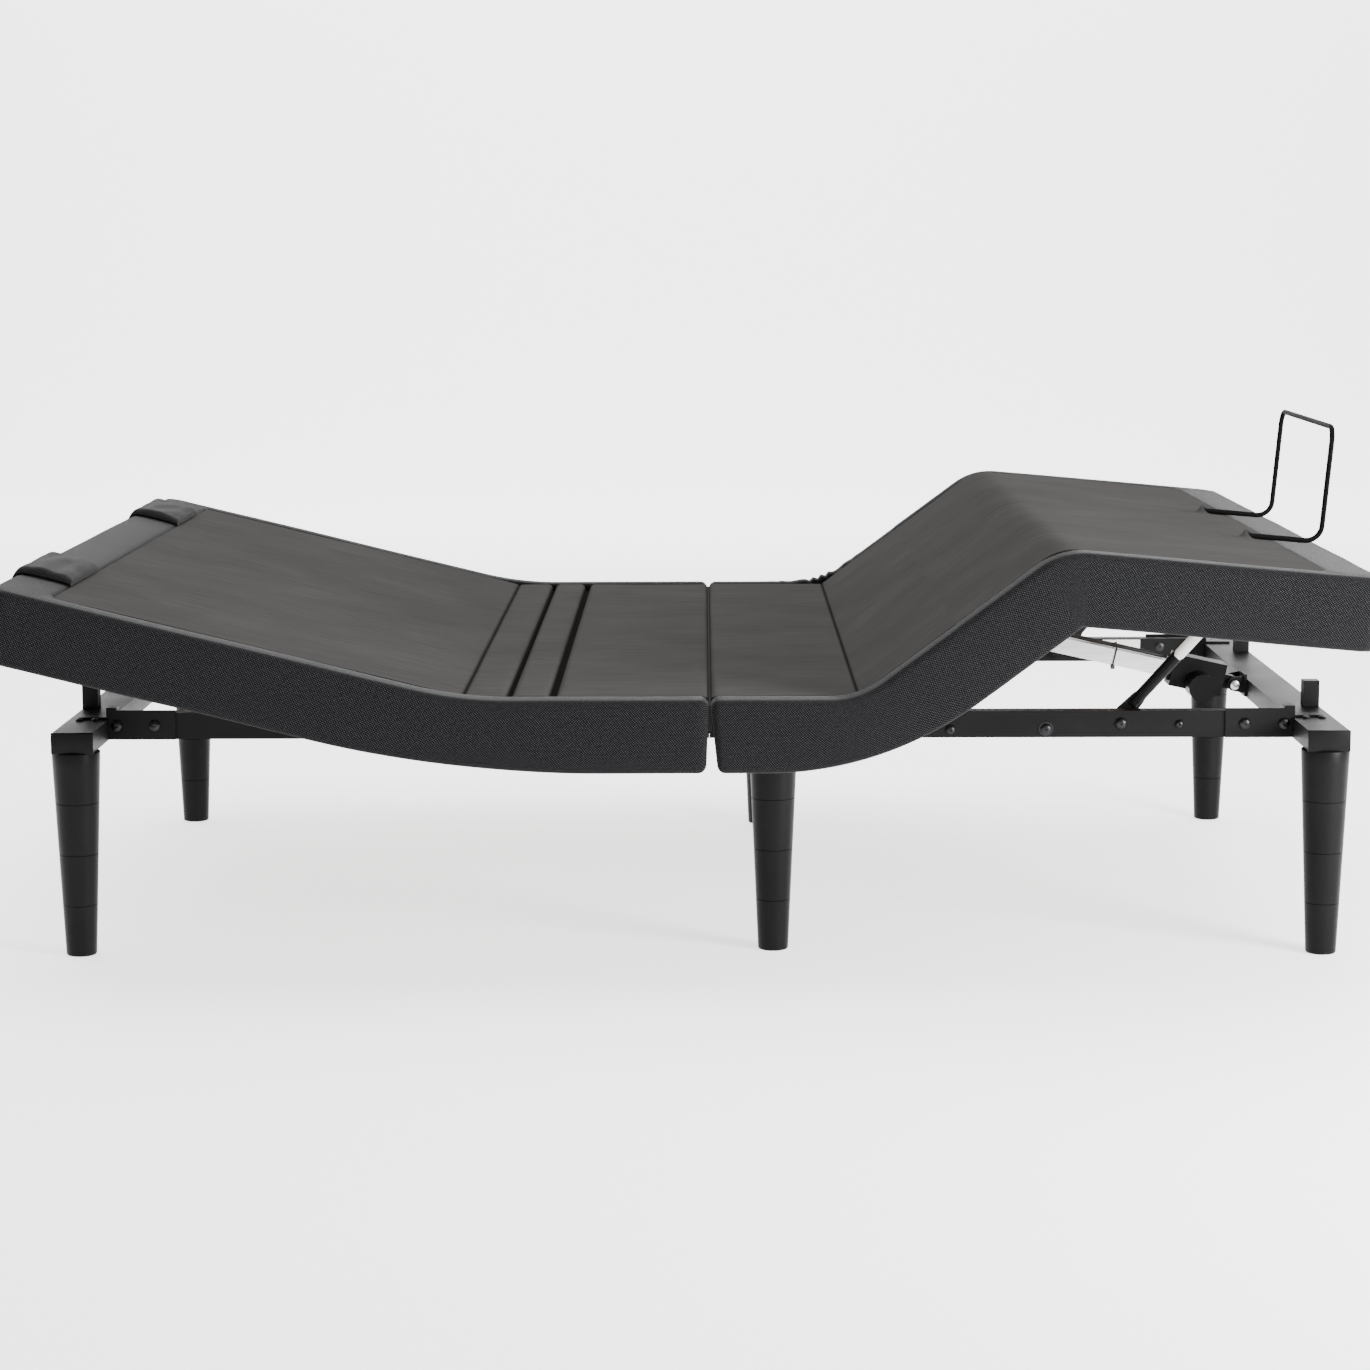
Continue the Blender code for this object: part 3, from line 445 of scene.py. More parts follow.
ZINC = metal("zinc_plate", (0.60, 0.61, 0.62), 0.30, (120, 500, 500))
BLACK_ZINC = metal("black_oxide", (0.030, 0.030, 0.032), 0.38, (300, 300, 300))
WOOD = board_wood()
SLOT_MATERIALS = {"powder_coated_steel": STEEL, "woven_fabric": TWILL, "deck_board": WOOD,
                  "black_plastic": PLASTIC, "aluminium": ALUMINIUM, "zinc_steel": ZINC,
                  "cable_jacket": JACKET}


def dress(obj, mat, body=None):
    """Gives a piece its material and, where it moves as one, its body."""
    obj.data.materials.append(mat)
    if body:
        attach(obj, body)
    return obj


# Upholstered borders

def section_rows():
    """The border's section: distance in from the outer face at an end and at a side, height, and painted shade
    (darker down the inner wall beside the cover).
    """
    rows = [(BORDER, BORDER, LOW + 0.0004, 0.0), (0.030, 0.030, LOW, 0.0)]
    for i in range(6):
        turn = math.radians(18 * i)
        reach = LOW_ROUND * (1 - math.sin(turn))
        rows.append((reach, reach, LOW + LOW_ROUND * (1 - math.cos(turn)), 0.0))
    for i in range(1, 9):
        t = i / 9
        crown = -0.0013 * math.sin(math.pi * t)
        rows.append((crown, crown, LOW + LOW_ROUND + t * (TOP - LOW - LOW_ROUND - TOP_ROUND), 0.0))
    for i in range(7):
        turn = math.radians(15 * i)
        reach = TOP_ROUND * (1 - math.cos(turn))
        rows.append((reach, reach, TOP - 0.0112 + TOP_ROUND * math.sin(turn), 0.0))
    rows += [(0.034, 0.020, TOP, 0.0),
             (0.058, 0.032, TOP, 0.0),
             (BAND - 0.0080, 0.0430, TOP - 0.0003, 0.0),
             # Painted shade on the inner wall, in the gap beside the cover.
             (BAND - 0.0035, 0.0465, TOP - 0.0012, 0.2),
             (BAND - 0.0010, 0.0486, TOP - 0.0034, 0.6),
             (BAND - 0.0010, 0.0488, COVER_UNDER, 0.6),
             (BORDER, 0.0490, COVER_UNDER, 0.5),
             (BORDER, BORDER, 0.006, 0.2),
             (BORDER, BORDER, -0.040, 0.0)]
    return rows


def plan_path(end, starts, way):
    """Stations round a border, along one side, across the end and back: u, y and outward direction."""
    corner = end - way * CORNER_RADIUS
    stations = [(u, -HALF, (0.0, -1.0)) for u in starts + frange(starts[-1], corner, 0.009)[1:]]
    for i in range(1, 9):
        turn = math.pi / 2 * i / 8
        out = (way * math.sin(turn), -math.cos(turn))
        stations.append((corner + CORNER_RADIUS * out[0],
                         -HALF + CORNER_RADIUS + CORNER_RADIUS * out[1], out))
    run = frange(-HALF + CORNER_RADIUS, HALF - CORNER_RADIUS, 0.018)[1:]
    run = [y for y in run if abs(abs(y) - SEAM_Y) > 0.004]
    run += [side * (SEAM_Y + d) for _, side in SIDES for d in (-0.0020, -0.0008, 0.0, 0.0008, 0.0020)]
    for y in sorted(run):
        stations.append((end, y, (float(way), 0.0)))
    for u, y, out in [s for s in stations if s[1] < 0][::-1]:
        if abs(y) > HALF - CORNER_RADIUS - 1e-6:
            stations.append((u, -y, (out[0], -out[1])))
    return stations


ROWS = section_rows()


def perimeter():
    """Lengths round the section, for the weave's layout."""
    lengths = [0.0]
    ring = ROWS + ROWS[:1]
    for a, b in zip(ring, ring[1:]):
        lengths.append(lengths[-1] + math.hypot(a[1] - b[1], a[2] - b[2]))
    return lengths


def pucker(u, h, y, hinge_u, size):
    """Gathered cloth on the far border, where a section folds up."""
    if y < 0 or h < -0.03:
        return 0.0
    fade = math.exp(-((u - hinge_u) / 0.060) ** 2) * ease((h + 0.03) / 0.04)
    waves = 0.5 + 0.5 * math.sin((u - hinge_u) * 260 + 2.4 * math.sin(u * 70))
    return size * fade * waves


def border(name, stations, place, gap, lean, gathers, uv_way=1.0, end=None):
    """The foam border along its stations.

    gap is the u of a rounded free end, and lean cuts that end back at the bottom. gathers lists where the
    far side puckers, and how much. end is the u of a closed end, whose band is wider than the sides'.
    """
    rings, uvs, shades, path, last = [], [], [], 0.0, None
    lengths = perimeter()
    middle = (TOP + LOW) / 2
    for u, y, out in stations:
        spot = Vector((u, y))
        if last is not None:
            path += (spot - last).length
        last = spot
        away = abs(u - gap) if gap is not None else 1.0
        inset = GAP_ROUND - math.sqrt(GAP_ROUND ** 2 - (GAP_ROUND - away) ** 2) if away < GAP_ROUND else 0.0
        squeeze = 1 - inset / BORDER
        ring = []
        for at_end, at_side, h, _ in ROWS:
            reach = at_end * abs(out[0]) + at_side * abs(out[1])
            reach += ripple(path * 7, h * 11, 3.1, 0.0011)
            reach = BORDER - (BORDER - reach) * squeeze
            height = middle + (h - middle) * (1 - 2 * inset / (TOP - LOW))
            height += ripple(path * 5, y * 3 + h * 8, 8.7, 0.0009)
            px, py = u - reach * out[0], y - reach * out[1]
            if end is not None:
                way = math.copysign(1.0, end)
                px = way * min(way * px, way * end - at_end)
                py = math.copysign(min(abs(py), HALF - at_side), py)
            if gap is not None:
                px += lean * (TOP - h) / (TOP - LOW) * max(0.0, 1 - away / 0.12)
            for hinge_u, size in gathers:
                height += pucker(px, h, y, hinge_u, size)
            x, z = place(px, height)
            ring.append(Vector((x, py, z)))
        rings.append(ring)
        uvs.append([(uv_way * path, v) for v in lengths])
        # Painted shade: a dark line along the seam groove on the end band, and the rows' painted shade elsewhere.
        sewn = out[1] == 0.0 and abs(abs(y) - SEAM_Y) < 0.0004
        shades.append([0.9 if sewn and row[2] > TOP - 0.006 else row[3] for row in ROWS])
    return lofted(name, rings, uvs, shades=shades)


def soft(obj, mat, nodes, bodies, around=None):
    """Finish and stand-ins of an upholstered piece; it rides its first body, or stays where it is built when
    around is given.
    """
    dress(obj, mat)
    if nodes:
        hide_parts(*nodes)
    if around:
        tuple(around[0])
        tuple(around[1])
        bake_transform(obj)
    else:
        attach(obj, bodies[0])
    return obj


def across(place, first, second):
    """Two points on a section's hinge line, at the given distances along it."""
    ends = [place(u, 0.0) for u in (first, second)]
    return [(x, 0.0, z) for x, z in ends]


def gap_steps(gap, way):
    """Stations round a free end's rounded edge."""
    return [gap + way * e for e in (0.0, 0.0008, 0.0022, 0.0045, 0.0080, 0.0120)]


HEAD_PLACE = head_half(HEAD_BEND)
FOOT_PLACE = foot_half(THIGH_BEND, KNEE_BEND)
HEAD_COVER = head_half(HEAD_CREASE)
FOOT_COVER = foot_half(THIGH_CREASE, KNEE_COVER)

head_border = border("head_border_cover", plan_path(-HEAD_REACH, gap_steps(HEAD_GAP, -1), -1),
                     HEAD_PLACE, HEAD_GAP, -0.0030, (), uv_way=-1.0, end=-HEAD_REACH)
soft(head_border, TWILL, ("head_border", "seat_border_head_near", "seat_border_head_far"),
     ("base", "head"), across(HEAD_PLACE, 0.060, -0.060))
for side_name, side in SIDES:
    run = gap_steps(FOOT_GAP, 1)
    run += frange(run[-1], MID_THIGH, 0.009)[1:]
    stations = [(u, side * HALF, (0.0, float(side))) for u in run]
    piece = border("foot_border_cover_" + side_name, stations, FOOT_PLACE, FOOT_GAP, 0.0085, ((0.0, 0.006),))
    soft(piece, TWILL, ("seat_border_foot_" + side_name, "thigh_border_" + side_name),
         ("base", "thigh"), across(FOOT_PLACE, -0.060, 0.060))
calf_border = border("calf_border_cover", plan_path(FOOT_REACH, [MID_THIGH], 1),
                     FOOT_PLACE, None, 0.0, (), end=FOOT_REACH)
soft(calf_border, TWILL, ("calf_border",), ("thigh", "calf"),
     across(FOOT_PLACE, THIGH_REACH - 0.050, THIGH_REACH + 0.050))


# Deck covers

def fold_down(edge, way):
    """The path of a cover over a panel's edge at u = edge: outer and inner points, from the top down."""
    outer, inner = [], []
    radius = 0.0085
    centre = edge - way * (radius - 0.0020)
    for i in range(8):
        turn = math.pi / 2 * i / 7
        outer.append((centre + way * radius * math.sin(turn), COVER_TOP - radius + radius * math.cos(turn)))
        inner.append((edge + way * 0.0003 if i > 2 else centre, 0.0103 if i < 5 else 0.006))
    return outer, inner


def free_edge(edge, way):
    """A cover's folded end at the gap between the two halves."""
    outer, inner = fold_down(edge, way)
    return outer + [(edge + way * 0.0020, -0.001)], inner + [(edge + way * 0.0003, -0.001)]


def seam_edge(edge, way):
    """A cover's end that is sewn to a border band."""
    outer = [(edge - way * 0.0028, COVER_TOP),
             (edge - way * 0.0008, COVER_TOP - 0.0008),
             (edge, COVER_UNDER + 0.0007)]
    return outer, [(edge, COVER_UNDER)] * 3


def level_edge(edge, _):
    """A cover's end that goes straight on in the next cover."""
    return [(edge, COVER_TOP)], [(edge, COVER_UNDER)]


def channel(left, right):
    """The path of a cover down into a channel between two panels and up again."""
    outer, inner = fold_down(left, 1)
    up_outer, up_inner = fold_down(right, -1)
    outer += [(left + 0.0020, CHANNEL_FLOOR + 0.0012), (left + 0.0030, CHANNEL_FLOOR)]
    inner += [(left + 0.0003, CHANNEL_FLOOR - 0.0006), (left + 0.0030, CHANNEL_FLOOR - 0.0008)]
    outer += [(right - 0.0030, CHANNEL_FLOOR), (right - 0.0020, CHANNEL_FLOOR + 0.0012)]
    inner += [(right - 0.0030, CHANNEL_FLOOR - 0.0008), (right - 0.0003, CHANNEL_FLOOR - 0.0006)]
    return outer + up_outer[::-1], inner + up_inner[::-1]


def ticks_between(start, stop, creases, lips):
    """Places along a plain stretch of a cover, closer together at creases and slits."""
    ticks = frange(start, stop, 0.009)[1:-1]
    for crease in creases:
        if start < crease < stop:
            ticks = [u for u in ticks if abs(u - crease) > 0.016]
            steps = (0.0, 0.0012, 0.0026, 0.0045, 0.007, 0.010, 0.014)
            ticks += [crease + d for d in steps] + [crease - d for d in steps[1:]]
    if lips:
        ticks = [u for u in ticks if abs(u - lips[0][0]) > 0.045]
        ticks += frange(lips[0][0] - 0.043, lips[0][0] + 0.043, 0.0025)
    return sorted(ticks)


def cover_path(ends, channels, creases, lips):
    """The outer and inner points along a cover. ends are its two (edge kind, u), in order."""
    outer, inner = ends[0][0](ends[0][1], -1)
    outer, inner = outer[::-1], inner[::-1]
    parts = [channel(*c) for c in channels] + [ends[1][0](ends[1][1], 1)]
    for part_outer, part_inner in parts:
        for u in ticks_between(outer[-1][0], part_outer[0][0], creases, lips):
            outer.append((u, COVER_TOP))
            inner.append((u, COVER_UNDER))
        outer += part_outer
        inner += part_inner
    return outer, inner


def slit_reach(u, lip_u):
    """How far a point is inside a slit's length, from 0 to 1."""
    return ease((u - lip_u + 0.007) / 0.008) * ease((lip_u + 0.044 - u) / 0.010)


def slit_lift(u, y, lips):
    """The turned-up edge of each slit that the retainer's wire comes out of, and the hood at its end."""
    lift = 0.0
    for lip_u, lip_y in lips:
        lift += 0.0085 * slit_reach(u, lip_u) * math.exp(-((y - lip_y - 0.0075) / 0.0045) ** 2)
        lift += 0.0095 * math.exp(-((u - lip_u) / 0.0075) ** 2 - ((y - lip_y) / 0.0085) ** 2)
        lift += 0.0022 * math.exp(-((u - lip_u + 0.018) / 0.022) ** 2 - ((y - lip_y) / 0.015) ** 2)
    return lift


def slit_shade(u, y, lips):
    """Painted shade in the slits themselves."""
    return max((0.95 * slit_reach(u, lip_u + 0.006) * math.exp(-((y - lip_y) / 0.0048) ** 4)
                for lip_u, lip_y in lips), default=0.0)


def cover(name, place, ends, channels=(), creases=(), lips=()):
    """A cloth cover over deck panels, sewn down along both sides of the bed."""
    outer, inner = cover_path(ends, channels, creases, lips)
    edge = SEAM_Y - 0.0006
    inside = frange(-edge + 0.012, edge - 0.012, 0.024)
    for _, lip_y in lips:
        inside = [y for y in inside if abs(y - lip_y) > 0.035]
        inside += frange(lip_y - 0.033, lip_y + 0.033, 0.003)
    ys = [-edge, -edge + 0.0006, -edge + 0.0016, -edge + 0.0035, -edge + 0.007] + sorted(inside)
    ys += [-y for y in ys[4::-1]]
    rings, uvs, shades = [], [], []
    length = [0.0]
    for a, b in zip(outer, outer[1:]):
        length.append(length[-1] + math.hypot(b[0] - a[0], b[1] - a[1]))
    for y in ys:
        rim = edge - abs(y)
        full = 0.25 + 0.75 * math.sqrt(1 - (1 - min(rim / 0.0045, 1.0)) ** 2)
        top, under, painted_shade = [], [], []
        for (u, h), (iu, ih) in zip(outer, inner):
            nearest = min((abs(u - crease) for crease in creases), default=1.0)
            dip = 0.0021 * math.exp(-(nearest / 0.0030) ** 2) + 0.0006 * math.exp(-(nearest / 0.011) ** 2)
            lift = ripple(u * 6.0, y * 6.0, 5.5, 0.0010) if h > 0.012 else 0.0
            lift += slit_lift(u, y, lips)
            pu, ph = iu + (u - iu) * full, ih + (h + lift - dip - ih) * full
            x, z = place(pu, ph)
            top.append(Vector((x, y, z)))
            x, z = place(iu, ih)
            under.append(Vector((x, y, z)))
            # Painted shade: darker at the crease, at the rim beside the border, down the channels and folded
            # edges, and in the slits.
            recess_shade = 0.95 * ease((0.0125 - h) / 0.006)
            painted_shade.append(max(math.exp(-(nearest / 0.0034) ** 2), ease(1 - rim / 0.0035), recess_shade,
                            slit_shade(u, y, lips)))
        rings.append(top + under[::-1])
        shades.append(painted_shade + [0.0] * len(painted_shade))
        uvs.append([(a, y) for a in length] + [(a, y) for a in length[::-1]] + [(0.0, y)])
    return lofted(name, rings, uvs, shades=shades)


hoop_low, hoop_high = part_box("foot_retainer_bar")
WIRE_RADIUS = 0.004
HOOP_LEGS = (hoop_low.y + WIRE_RADIUS, hoop_high.y - WIRE_RADIUS)

soft(cover("head_half_cover", HEAD_COVER,
           ((seam_edge, -HEAD_REACH + BAND), (free_edge, HEAD_GAP - PANEL_INSET)),
           channels=SEAT_CHANNELS, creases=(0.0,)),
     CLOTH, (), ("base", "head"), across(HEAD_COVER, 0.013, -0.013))
soft(cover("foot_seat_cover", FOOT_COVER, ((free_edge, FOOT_GAP + PANEL_INSET), (level_edge, MID_THIGH)),
           creases=(0.0,)),
     CLOTH, (), ("base", "thigh"), across(FOOT_COVER, -0.014, 0.014))
soft(cover("calf_cover", FOOT_COVER, ((level_edge, MID_THIGH), (seam_edge, FOOT_REACH - BAND)),
           lips=[(LIP_U, y) for y in HOOP_LEGS]),
     CLOTH, (), ("thigh", "calf"), across(FOOT_COVER, THIGH_REACH - 0.040, THIGH_REACH + 0.040))

# The strip that joins the two halves under their panels
strip = rounded_block("joining_strip", (0.0286, -0.746, 0.3640), (0.0348, 0.746, 0.4010), 0.0010)
dress(strip, CLOTH, "base")


# Strap loops

STRAP_HALF = 0.0430
STRAP_Y = 0.474
STRAP_REACH = 0.105
STRAP_ROUND = 0.0135
STRAP_RISE = 0.0125
STRAP_SLIT = 0.0030
STRAP_STEPS = 28


def strap_loop(name, side):
    """A padded band over a hand space, its two long edges sewn down."""
    centre_u, centre_y = -HEAD_REACH + 0.0405, side * STRAP_Y
    low_y, high_y = centre_y - STRAP_REACH, centre_y + STRAP_REACH
    rings, uvs, shades, run, last = [], [], [], 0.0, None
    inset = [0.0, 0.0006, 0.0018, 0.0036, 0.0062, 0.0095, STRAP_ROUND]
    ys = [low_y + e for e in inset] + frange(low_y + 0.020, high_y - 0.020, 0.0066)
    ys += [high_y - e for e in inset[::-1]]
    for y in ys:
        edge = STRAP_REACH - abs(y - centre_y)
        roll = math.sqrt(max(0.0, 1 - (1 - min(edge / STRAP_ROUND, 1.0)) ** 2))
        spot = Vector((y, 0.0165 * roll))
        if last is not None:
            run += (spot - last).length
        last = spot
        top, under = [], []
        for i in range(STRAP_STEPS + 1):
            turn = math.pi * i / STRAP_STEPS
            rise = math.sin(turn) ** 0.42
            wave = 1 + 0.18 * noise.noise(Vector((y * 15, i * 0.22, side * 2.0)))
            u = centre_u + STRAP_HALF * math.cos(turn)
            past = 1 - min((u + HEAD_REACH + 0.0025) / 0.0180, 1.0)
            base = TOP - 0.0160 * (1 - math.sqrt(max(0.0, 1 - past ** 2)))
            gap = STRAP_SLIT * rise
            x, z = HEAD_PLACE(u, base + gap + STRAP_RISE * rise * wave * (0.12 + 0.88 * roll))
            top.append(Vector((x, y, z)))
            x, z = HEAD_PLACE(centre_u + (STRAP_HALF - 0.003) * math.cos(turn), base + gap)
            under.append(Vector((x, y, z)))
        rings.append(top + under[::-1])
        steps = range(STRAP_STEPS + 1)
        uvs.append([(run, 0.0038 * i) for i in steps] + [(run, 0.11 - 0.0038 * i) for i in steps]
                   + [(run, 0.0)])
        # Painted shade along the two sewn edges and on the underside.
        shades.append([0.8 if i in (0, STRAP_STEPS) else 0.0 for i in steps] + [1.0] * len(steps))
    return lofted(name, rings, uvs, shades=shades)


for side_name, side in SIDES:
    soft(strap_loop("strap_loop_" + side_name, side), TWILL, ("head_strap_loop_" + side_name,),
         ("head",))


# Legs

LEG_HEIGHT = 0.3047
LEG_SECTION = 0.0762
LEG_FOOT_RADIUS = 0.0223
LEG_TOP_RADIUS = 0.0355


def leg_radius(z):
    return LEG_FOOT_RADIUS + (LEG_TOP_RADIUS - LEG_FOOT_RADIUS) * z / LEG_HEIGHT


def leg_profile():
    """A tapered leg of four stacked sections, with a fine groove at each joint."""
    profile = [(0.0195, 0.0), (0.0212, 0.0006), (0.0222, 0.0022)]
    for i in range(4):
        low, high = LEG_SECTION * i, LEG_SECTION * (i + 1)
        for z in frange(low + 0.0022, high - 0.0015, 0.018):
            profile.append((leg_radius(z), z))
        if i < 3:
            radius = leg_radius(high)
            profile += [(radius, high - 0.0005), (radius - 0.0007, high), (radius, high + 0.0005)]
    profile += [(0.0352, 0.3040), (0.0345, LEG_HEIGHT)]
    return profile


for node in sorted(n for n in NODES if n.startswith("leg_")):
    low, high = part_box(node)
    leg = lathe(node.replace("leg_", "support_leg_"), leg_profile(),
                ((low.x + high.x) / 2, (low.y + high.y) / 2, 0.0), sides=72)
    dress(leg, PLASTIC, "base")
    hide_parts(node)


# Retainer hoop

HOOP_BEND = 0.024
HOOP_LOW = 0.0182
HOOP_TOP = 0.194
HOOP_EDGE = FOOT_REACH - 0.004
HOOP_RUN = 0.112


def hoop_points():
    """The centreline of the wire, in the calf section's own frame and placed by it."""
    middle, half = sum(HOOP_LEGS) / 2, (HOOP_LEGS[1] - HOOP_LEGS[0]) / 2
    turns = [math.pi / 2 * i / 12 for i in range(1, 13)]
    back = HOOP_EDGE - HOOP_BEND
    run = [(u, -half, HOOP_LOW) for u in frange(HOOP_EDGE - HOOP_RUN, back, 0.012)]
    for turn in turns:
        run.append((back + HOOP_BEND * math.sin(turn), -half,
                    HOOP_LOW + HOOP_BEND - HOOP_BEND * math.cos(turn)))
    run += [(HOOP_EDGE, -half, z) for z in frange(HOOP_LOW + HOOP_BEND + 0.006, HOOP_TOP - HOOP_BEND, 0.015)]
    for turn in turns:
        run.append((HOOP_EDGE, -half + HOOP_BEND - HOOP_BEND * math.cos(turn),
                    HOOP_TOP - HOOP_BEND + HOOP_BEND * math.sin(turn)))
    run += [(HOOP_EDGE, y, HOOP_TOP) for y in frange(-half + HOOP_BEND + 0.02, 0.0, 0.03)]
    run += [(u, -y, z) for u, y, z in run[-2::-1]]
    points = []
    for u, y, z in run:
        x, height = FOOT_COVER(u, z)
        points.append(Vector((x, middle + y, height)))
    return points


hoop = wire("retainer_hoop", hoop_points(), WIRE_RADIUS, up=(0, 1, 0))
dress(hoop, WIRE, "calf")
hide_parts("foot_retainer_bar")


# Hardware

def button_bolt(name, x, z, face_y, way, radius, washer=0.0):
    """A button-head bolt with a socket, on an upright face that looks along way * Y."""
    axis = "Y" if way > 0 else "-Y"
    profile = [(radius, 0.0), (radius, 0.0008)]
    for i in range(1, 6):
        turn = math.pi / 2 * i / 5 * 0.8
        profile.append((radius * math.cos(turn), 0.0008 + 0.0042 * math.sin(turn)))
    recess = radius * 0.30
    profile += [(recess, profile[-1][1]), (recess * 0.96, 0.0016), (0.0006, 0.0014)]
    if washer:
        profile = [(washer, 0.0), (washer, 0.0012), (washer - 0.0004, 0.0015), (radius, 0.0015)] \
            + [(r, h + 0.0015) for r, h in profile[1:]]
    bolt = lathe(name, profile, (x, face_y + way * 0.0002, z), axis)
    return dress(bolt, BLACK_ZINC, "base")


RAIL_BOLTS = ((0.3927, 0.317, 0.0072, 0.0), (0.5352, 0.318, 0.0085, 0.0110),
              (0.6477, 0.326, 0.0085, 0.0), (0.7350, 0.325, 0.0062, 0.0))
BRACKET_BOLTS = (("foot", (0.8322, 0.8907)), ("head", (-0.7990, -0.8560)))

for side_name, side in SIDES:
    for index, (x, z, radius, washer) in enumerate(RAIL_BOLTS):
        button_bolt(f"rail_bolt_{side_name}_{index + 1}", x, z, side * RAIL_OUTER, side, radius, washer)
    for end_name, xs in BRACKET_BOLTS:
        for index, x in enumerate(xs):
            button_bolt(f"bracket_bolt_{end_name}_{side_name}_{index + 1}", x, BRACKET_BOLT_Z,
                        side * BRACKET_FACE, side, 0.0085)
    for tube in ("head", "foot"):
        low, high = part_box(tube + "_cross_tube")
        ys = sorted((side * (high.y + 0.0003), side * (high.y + 0.0043)))
        cap = rounded_block(f"tube_cap_{tube}_{side_name}", (low.x - 0.001, ys[0], 0.3040),
                            (high.x + 0.001, ys[1], 0.3360), 0.0016)
        dress(cap, PLASTIC, "base")


# Foot drive and links

DRIVE_PIN = pivot("foot_drive_tilt")
slide_axis = JOINTS["foot_rod_slide"]["axis"]
ALONG = Vector((slide_axis[0], slide_axis[2]))
ABOVE = Vector((ALONG.y, -ALONG.x))
TIE_REACH = 0.198


def on_drive(reach, height):
    """A point beside the foot drive's axis: distance from its pin, and height over the axis."""
    return DRIVE_PIN + ALONG * reach + ABOVE * height


def drive_lead():
    """Two cables in one run: out of the control box, up to the aluminium profile and along its top."""
    bm = bmesh.new()
    for shift in (-0.0034, 0.0034):
        route = [(0.2615, 0.090 + shift, 0.3560), (0.2737, 0.090 + shift, 0.3560),
                 (0.3317, 0.066 + shift, 0.3570), (0.3917, 0.044 + shift, 0.3545),
                 (0.4517, 0.036 + shift, 0.3570), (0.4950, 0.033 + shift, 0.3680)]
        for reach, y, height in ((0.338, 0.0285, 0.0000), (0.316, 0.0250, 0.0125), (0.303, 0.0180, 0.0190),
                                 (0.282, 0.0085, 0.0180), (0.245, 0.0050, 0.0174),
                                 (0.190, 0.0050, 0.0176), (0.118, 0.0060, 0.0172)):
            x, z = on_drive(reach, height)
            route.append((x, y + shift, z))
        piece = wire("lead_part", smooth_points(route), 0.0031, sides=12)
        bm.from_mesh(piece.data)
        bpy.data.objects.remove(piece)
    return finish_mesh("foot_drive_lead", bm)


lead = dress(drive_lead(), JACKET)
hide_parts("foot_motor_lead", "foot_actuator_lead")
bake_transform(lead)


def tie():
    """A cable tie round the profile and the lead on it."""
    points = []
    for y, height in ((-0.0185, -0.0145), (-0.0185, 0.0135), (-0.0090, 0.0210), (0.0060, 0.0225),
                      (0.0150, 0.0200), (0.0185, 0.0135), (0.0185, -0.0145), (0.0, -0.0150),
                      (-0.0185, -0.0145)):
        x, z = on_drive(TIE_REACH, height)
        points.append(Vector((x, y, z)))
    return wire("cable_tie", points, 0.0013, sides=8, up=(1, 0, 0))


dress(tie(), JACKET, "foot_drive")
tail = on_drive(TIE_REACH, -0.0155)
tie_head = rounded_block("cable_tie_head", (tail.x - 0.0035, -0.0225, tail.y - 0.0035),
                         (tail.x + 0.0035, -0.0180, tail.y + 0.0035), 0.0008)
dress(tie_head, JACKET, "foot_drive")
PIN_PROFILE = [(0.0075, 0.0), (0.0078, 0.0010), (0.0070, 0.0032), (0.0035, 0.0040), (0.0030, 0.0024),
               (0.0005, 0.0022)]
pin_head = lathe("drive_pin_head", PIN_PROFILE, (DRIVE_PIN.x, -0.0342, DRIVE_PIN.y), "-Y", sides=32)
dress(pin_head, ZINC, "base")

LINK_FOOT = pivot("link_swing")
LINK_TURN = math.radians(47.85)
SLEEVE_START = 0.128
SLEEVE_STOP = 0.196


def sleeve(name, side):
    """A blank plate of thin light metal round the upper end of a link's tube."""
    rings, uvs = [], []
    for t in frange(SLEEVE_START, SLEEVE_STOP, 0.006):
        end = min(t - SLEEVE_START, SLEEVE_STOP - t)
        spread = math.radians(62) * math.sqrt(1 - (1 - min((end + 0.0012) / 0.008, 1.0)) ** 2)
        centre = LINK_FOOT + heading(LINK_TURN) * t
        outer, inner = [], []
        for turn in frange(-spread, spread, max(spread / 5, 1e-3)):
            for radius, points in ((0.0097, outer), (0.0092, inner)):
                x, z = centre + upright(LINK_TURN) * (radius * math.sin(turn))
                points.append(Vector((x, side * (LINK_Y + radius * math.cos(turn)), z)))
        rings.append(outer + inner[::-1])
        uvs.append([(t, 0.001 * k) for k in range(len(rings[-1]) + 1)])
    return lofted(name, rings, uvs)


dress(sleeve("link_plate_near", -1), LABEL, "foot_links")
label = rounded_block("rail_label", (0.7240, RAIL_INNER - 0.0008, 0.3190),
                      (0.7900, RAIL_INNER - 0.0003, 0.3430), 0.0002)
dress(label, LABEL, "base")
FLAT_PROFILE = [(0.0080, 0.0), (0.0079, 0.0008), (0.0062, 0.0016), (0.0024, 0.0017), (0.0022, 0.0006),
                (0.0004, 0.0005)]
inner_bolt = lathe("rail_bolt_inner", FLAT_PROFILE, (0.8243, RAIL_INNER - 0.0002, 0.3300), "-Y")
dress(inner_bolt, BLACK_ZINC, "base")
SCREW_PROFILE = [(0.0055, 0.0), (0.0056, 0.0012), (0.0040, 0.0034), (0.0018, 0.0038), (0.0016, 0.0022),
                 (0.0004, 0.0020)]
for tube in ("head", "foot"):
    low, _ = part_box(tube + "_cross_tube")
    for side_name, side in SIDES:
        for index, x in enumerate((0.018, 0.042)):
            screw = lathe(f"tube_screw_{tube}_{side_name}_{index + 1}", SCREW_PROFILE,
                          (low.x + x, side * 0.448, 0.3352), sides=24)
            dress(screw, BLACK_ZINC, "base")


# Carried-over CAD nodes

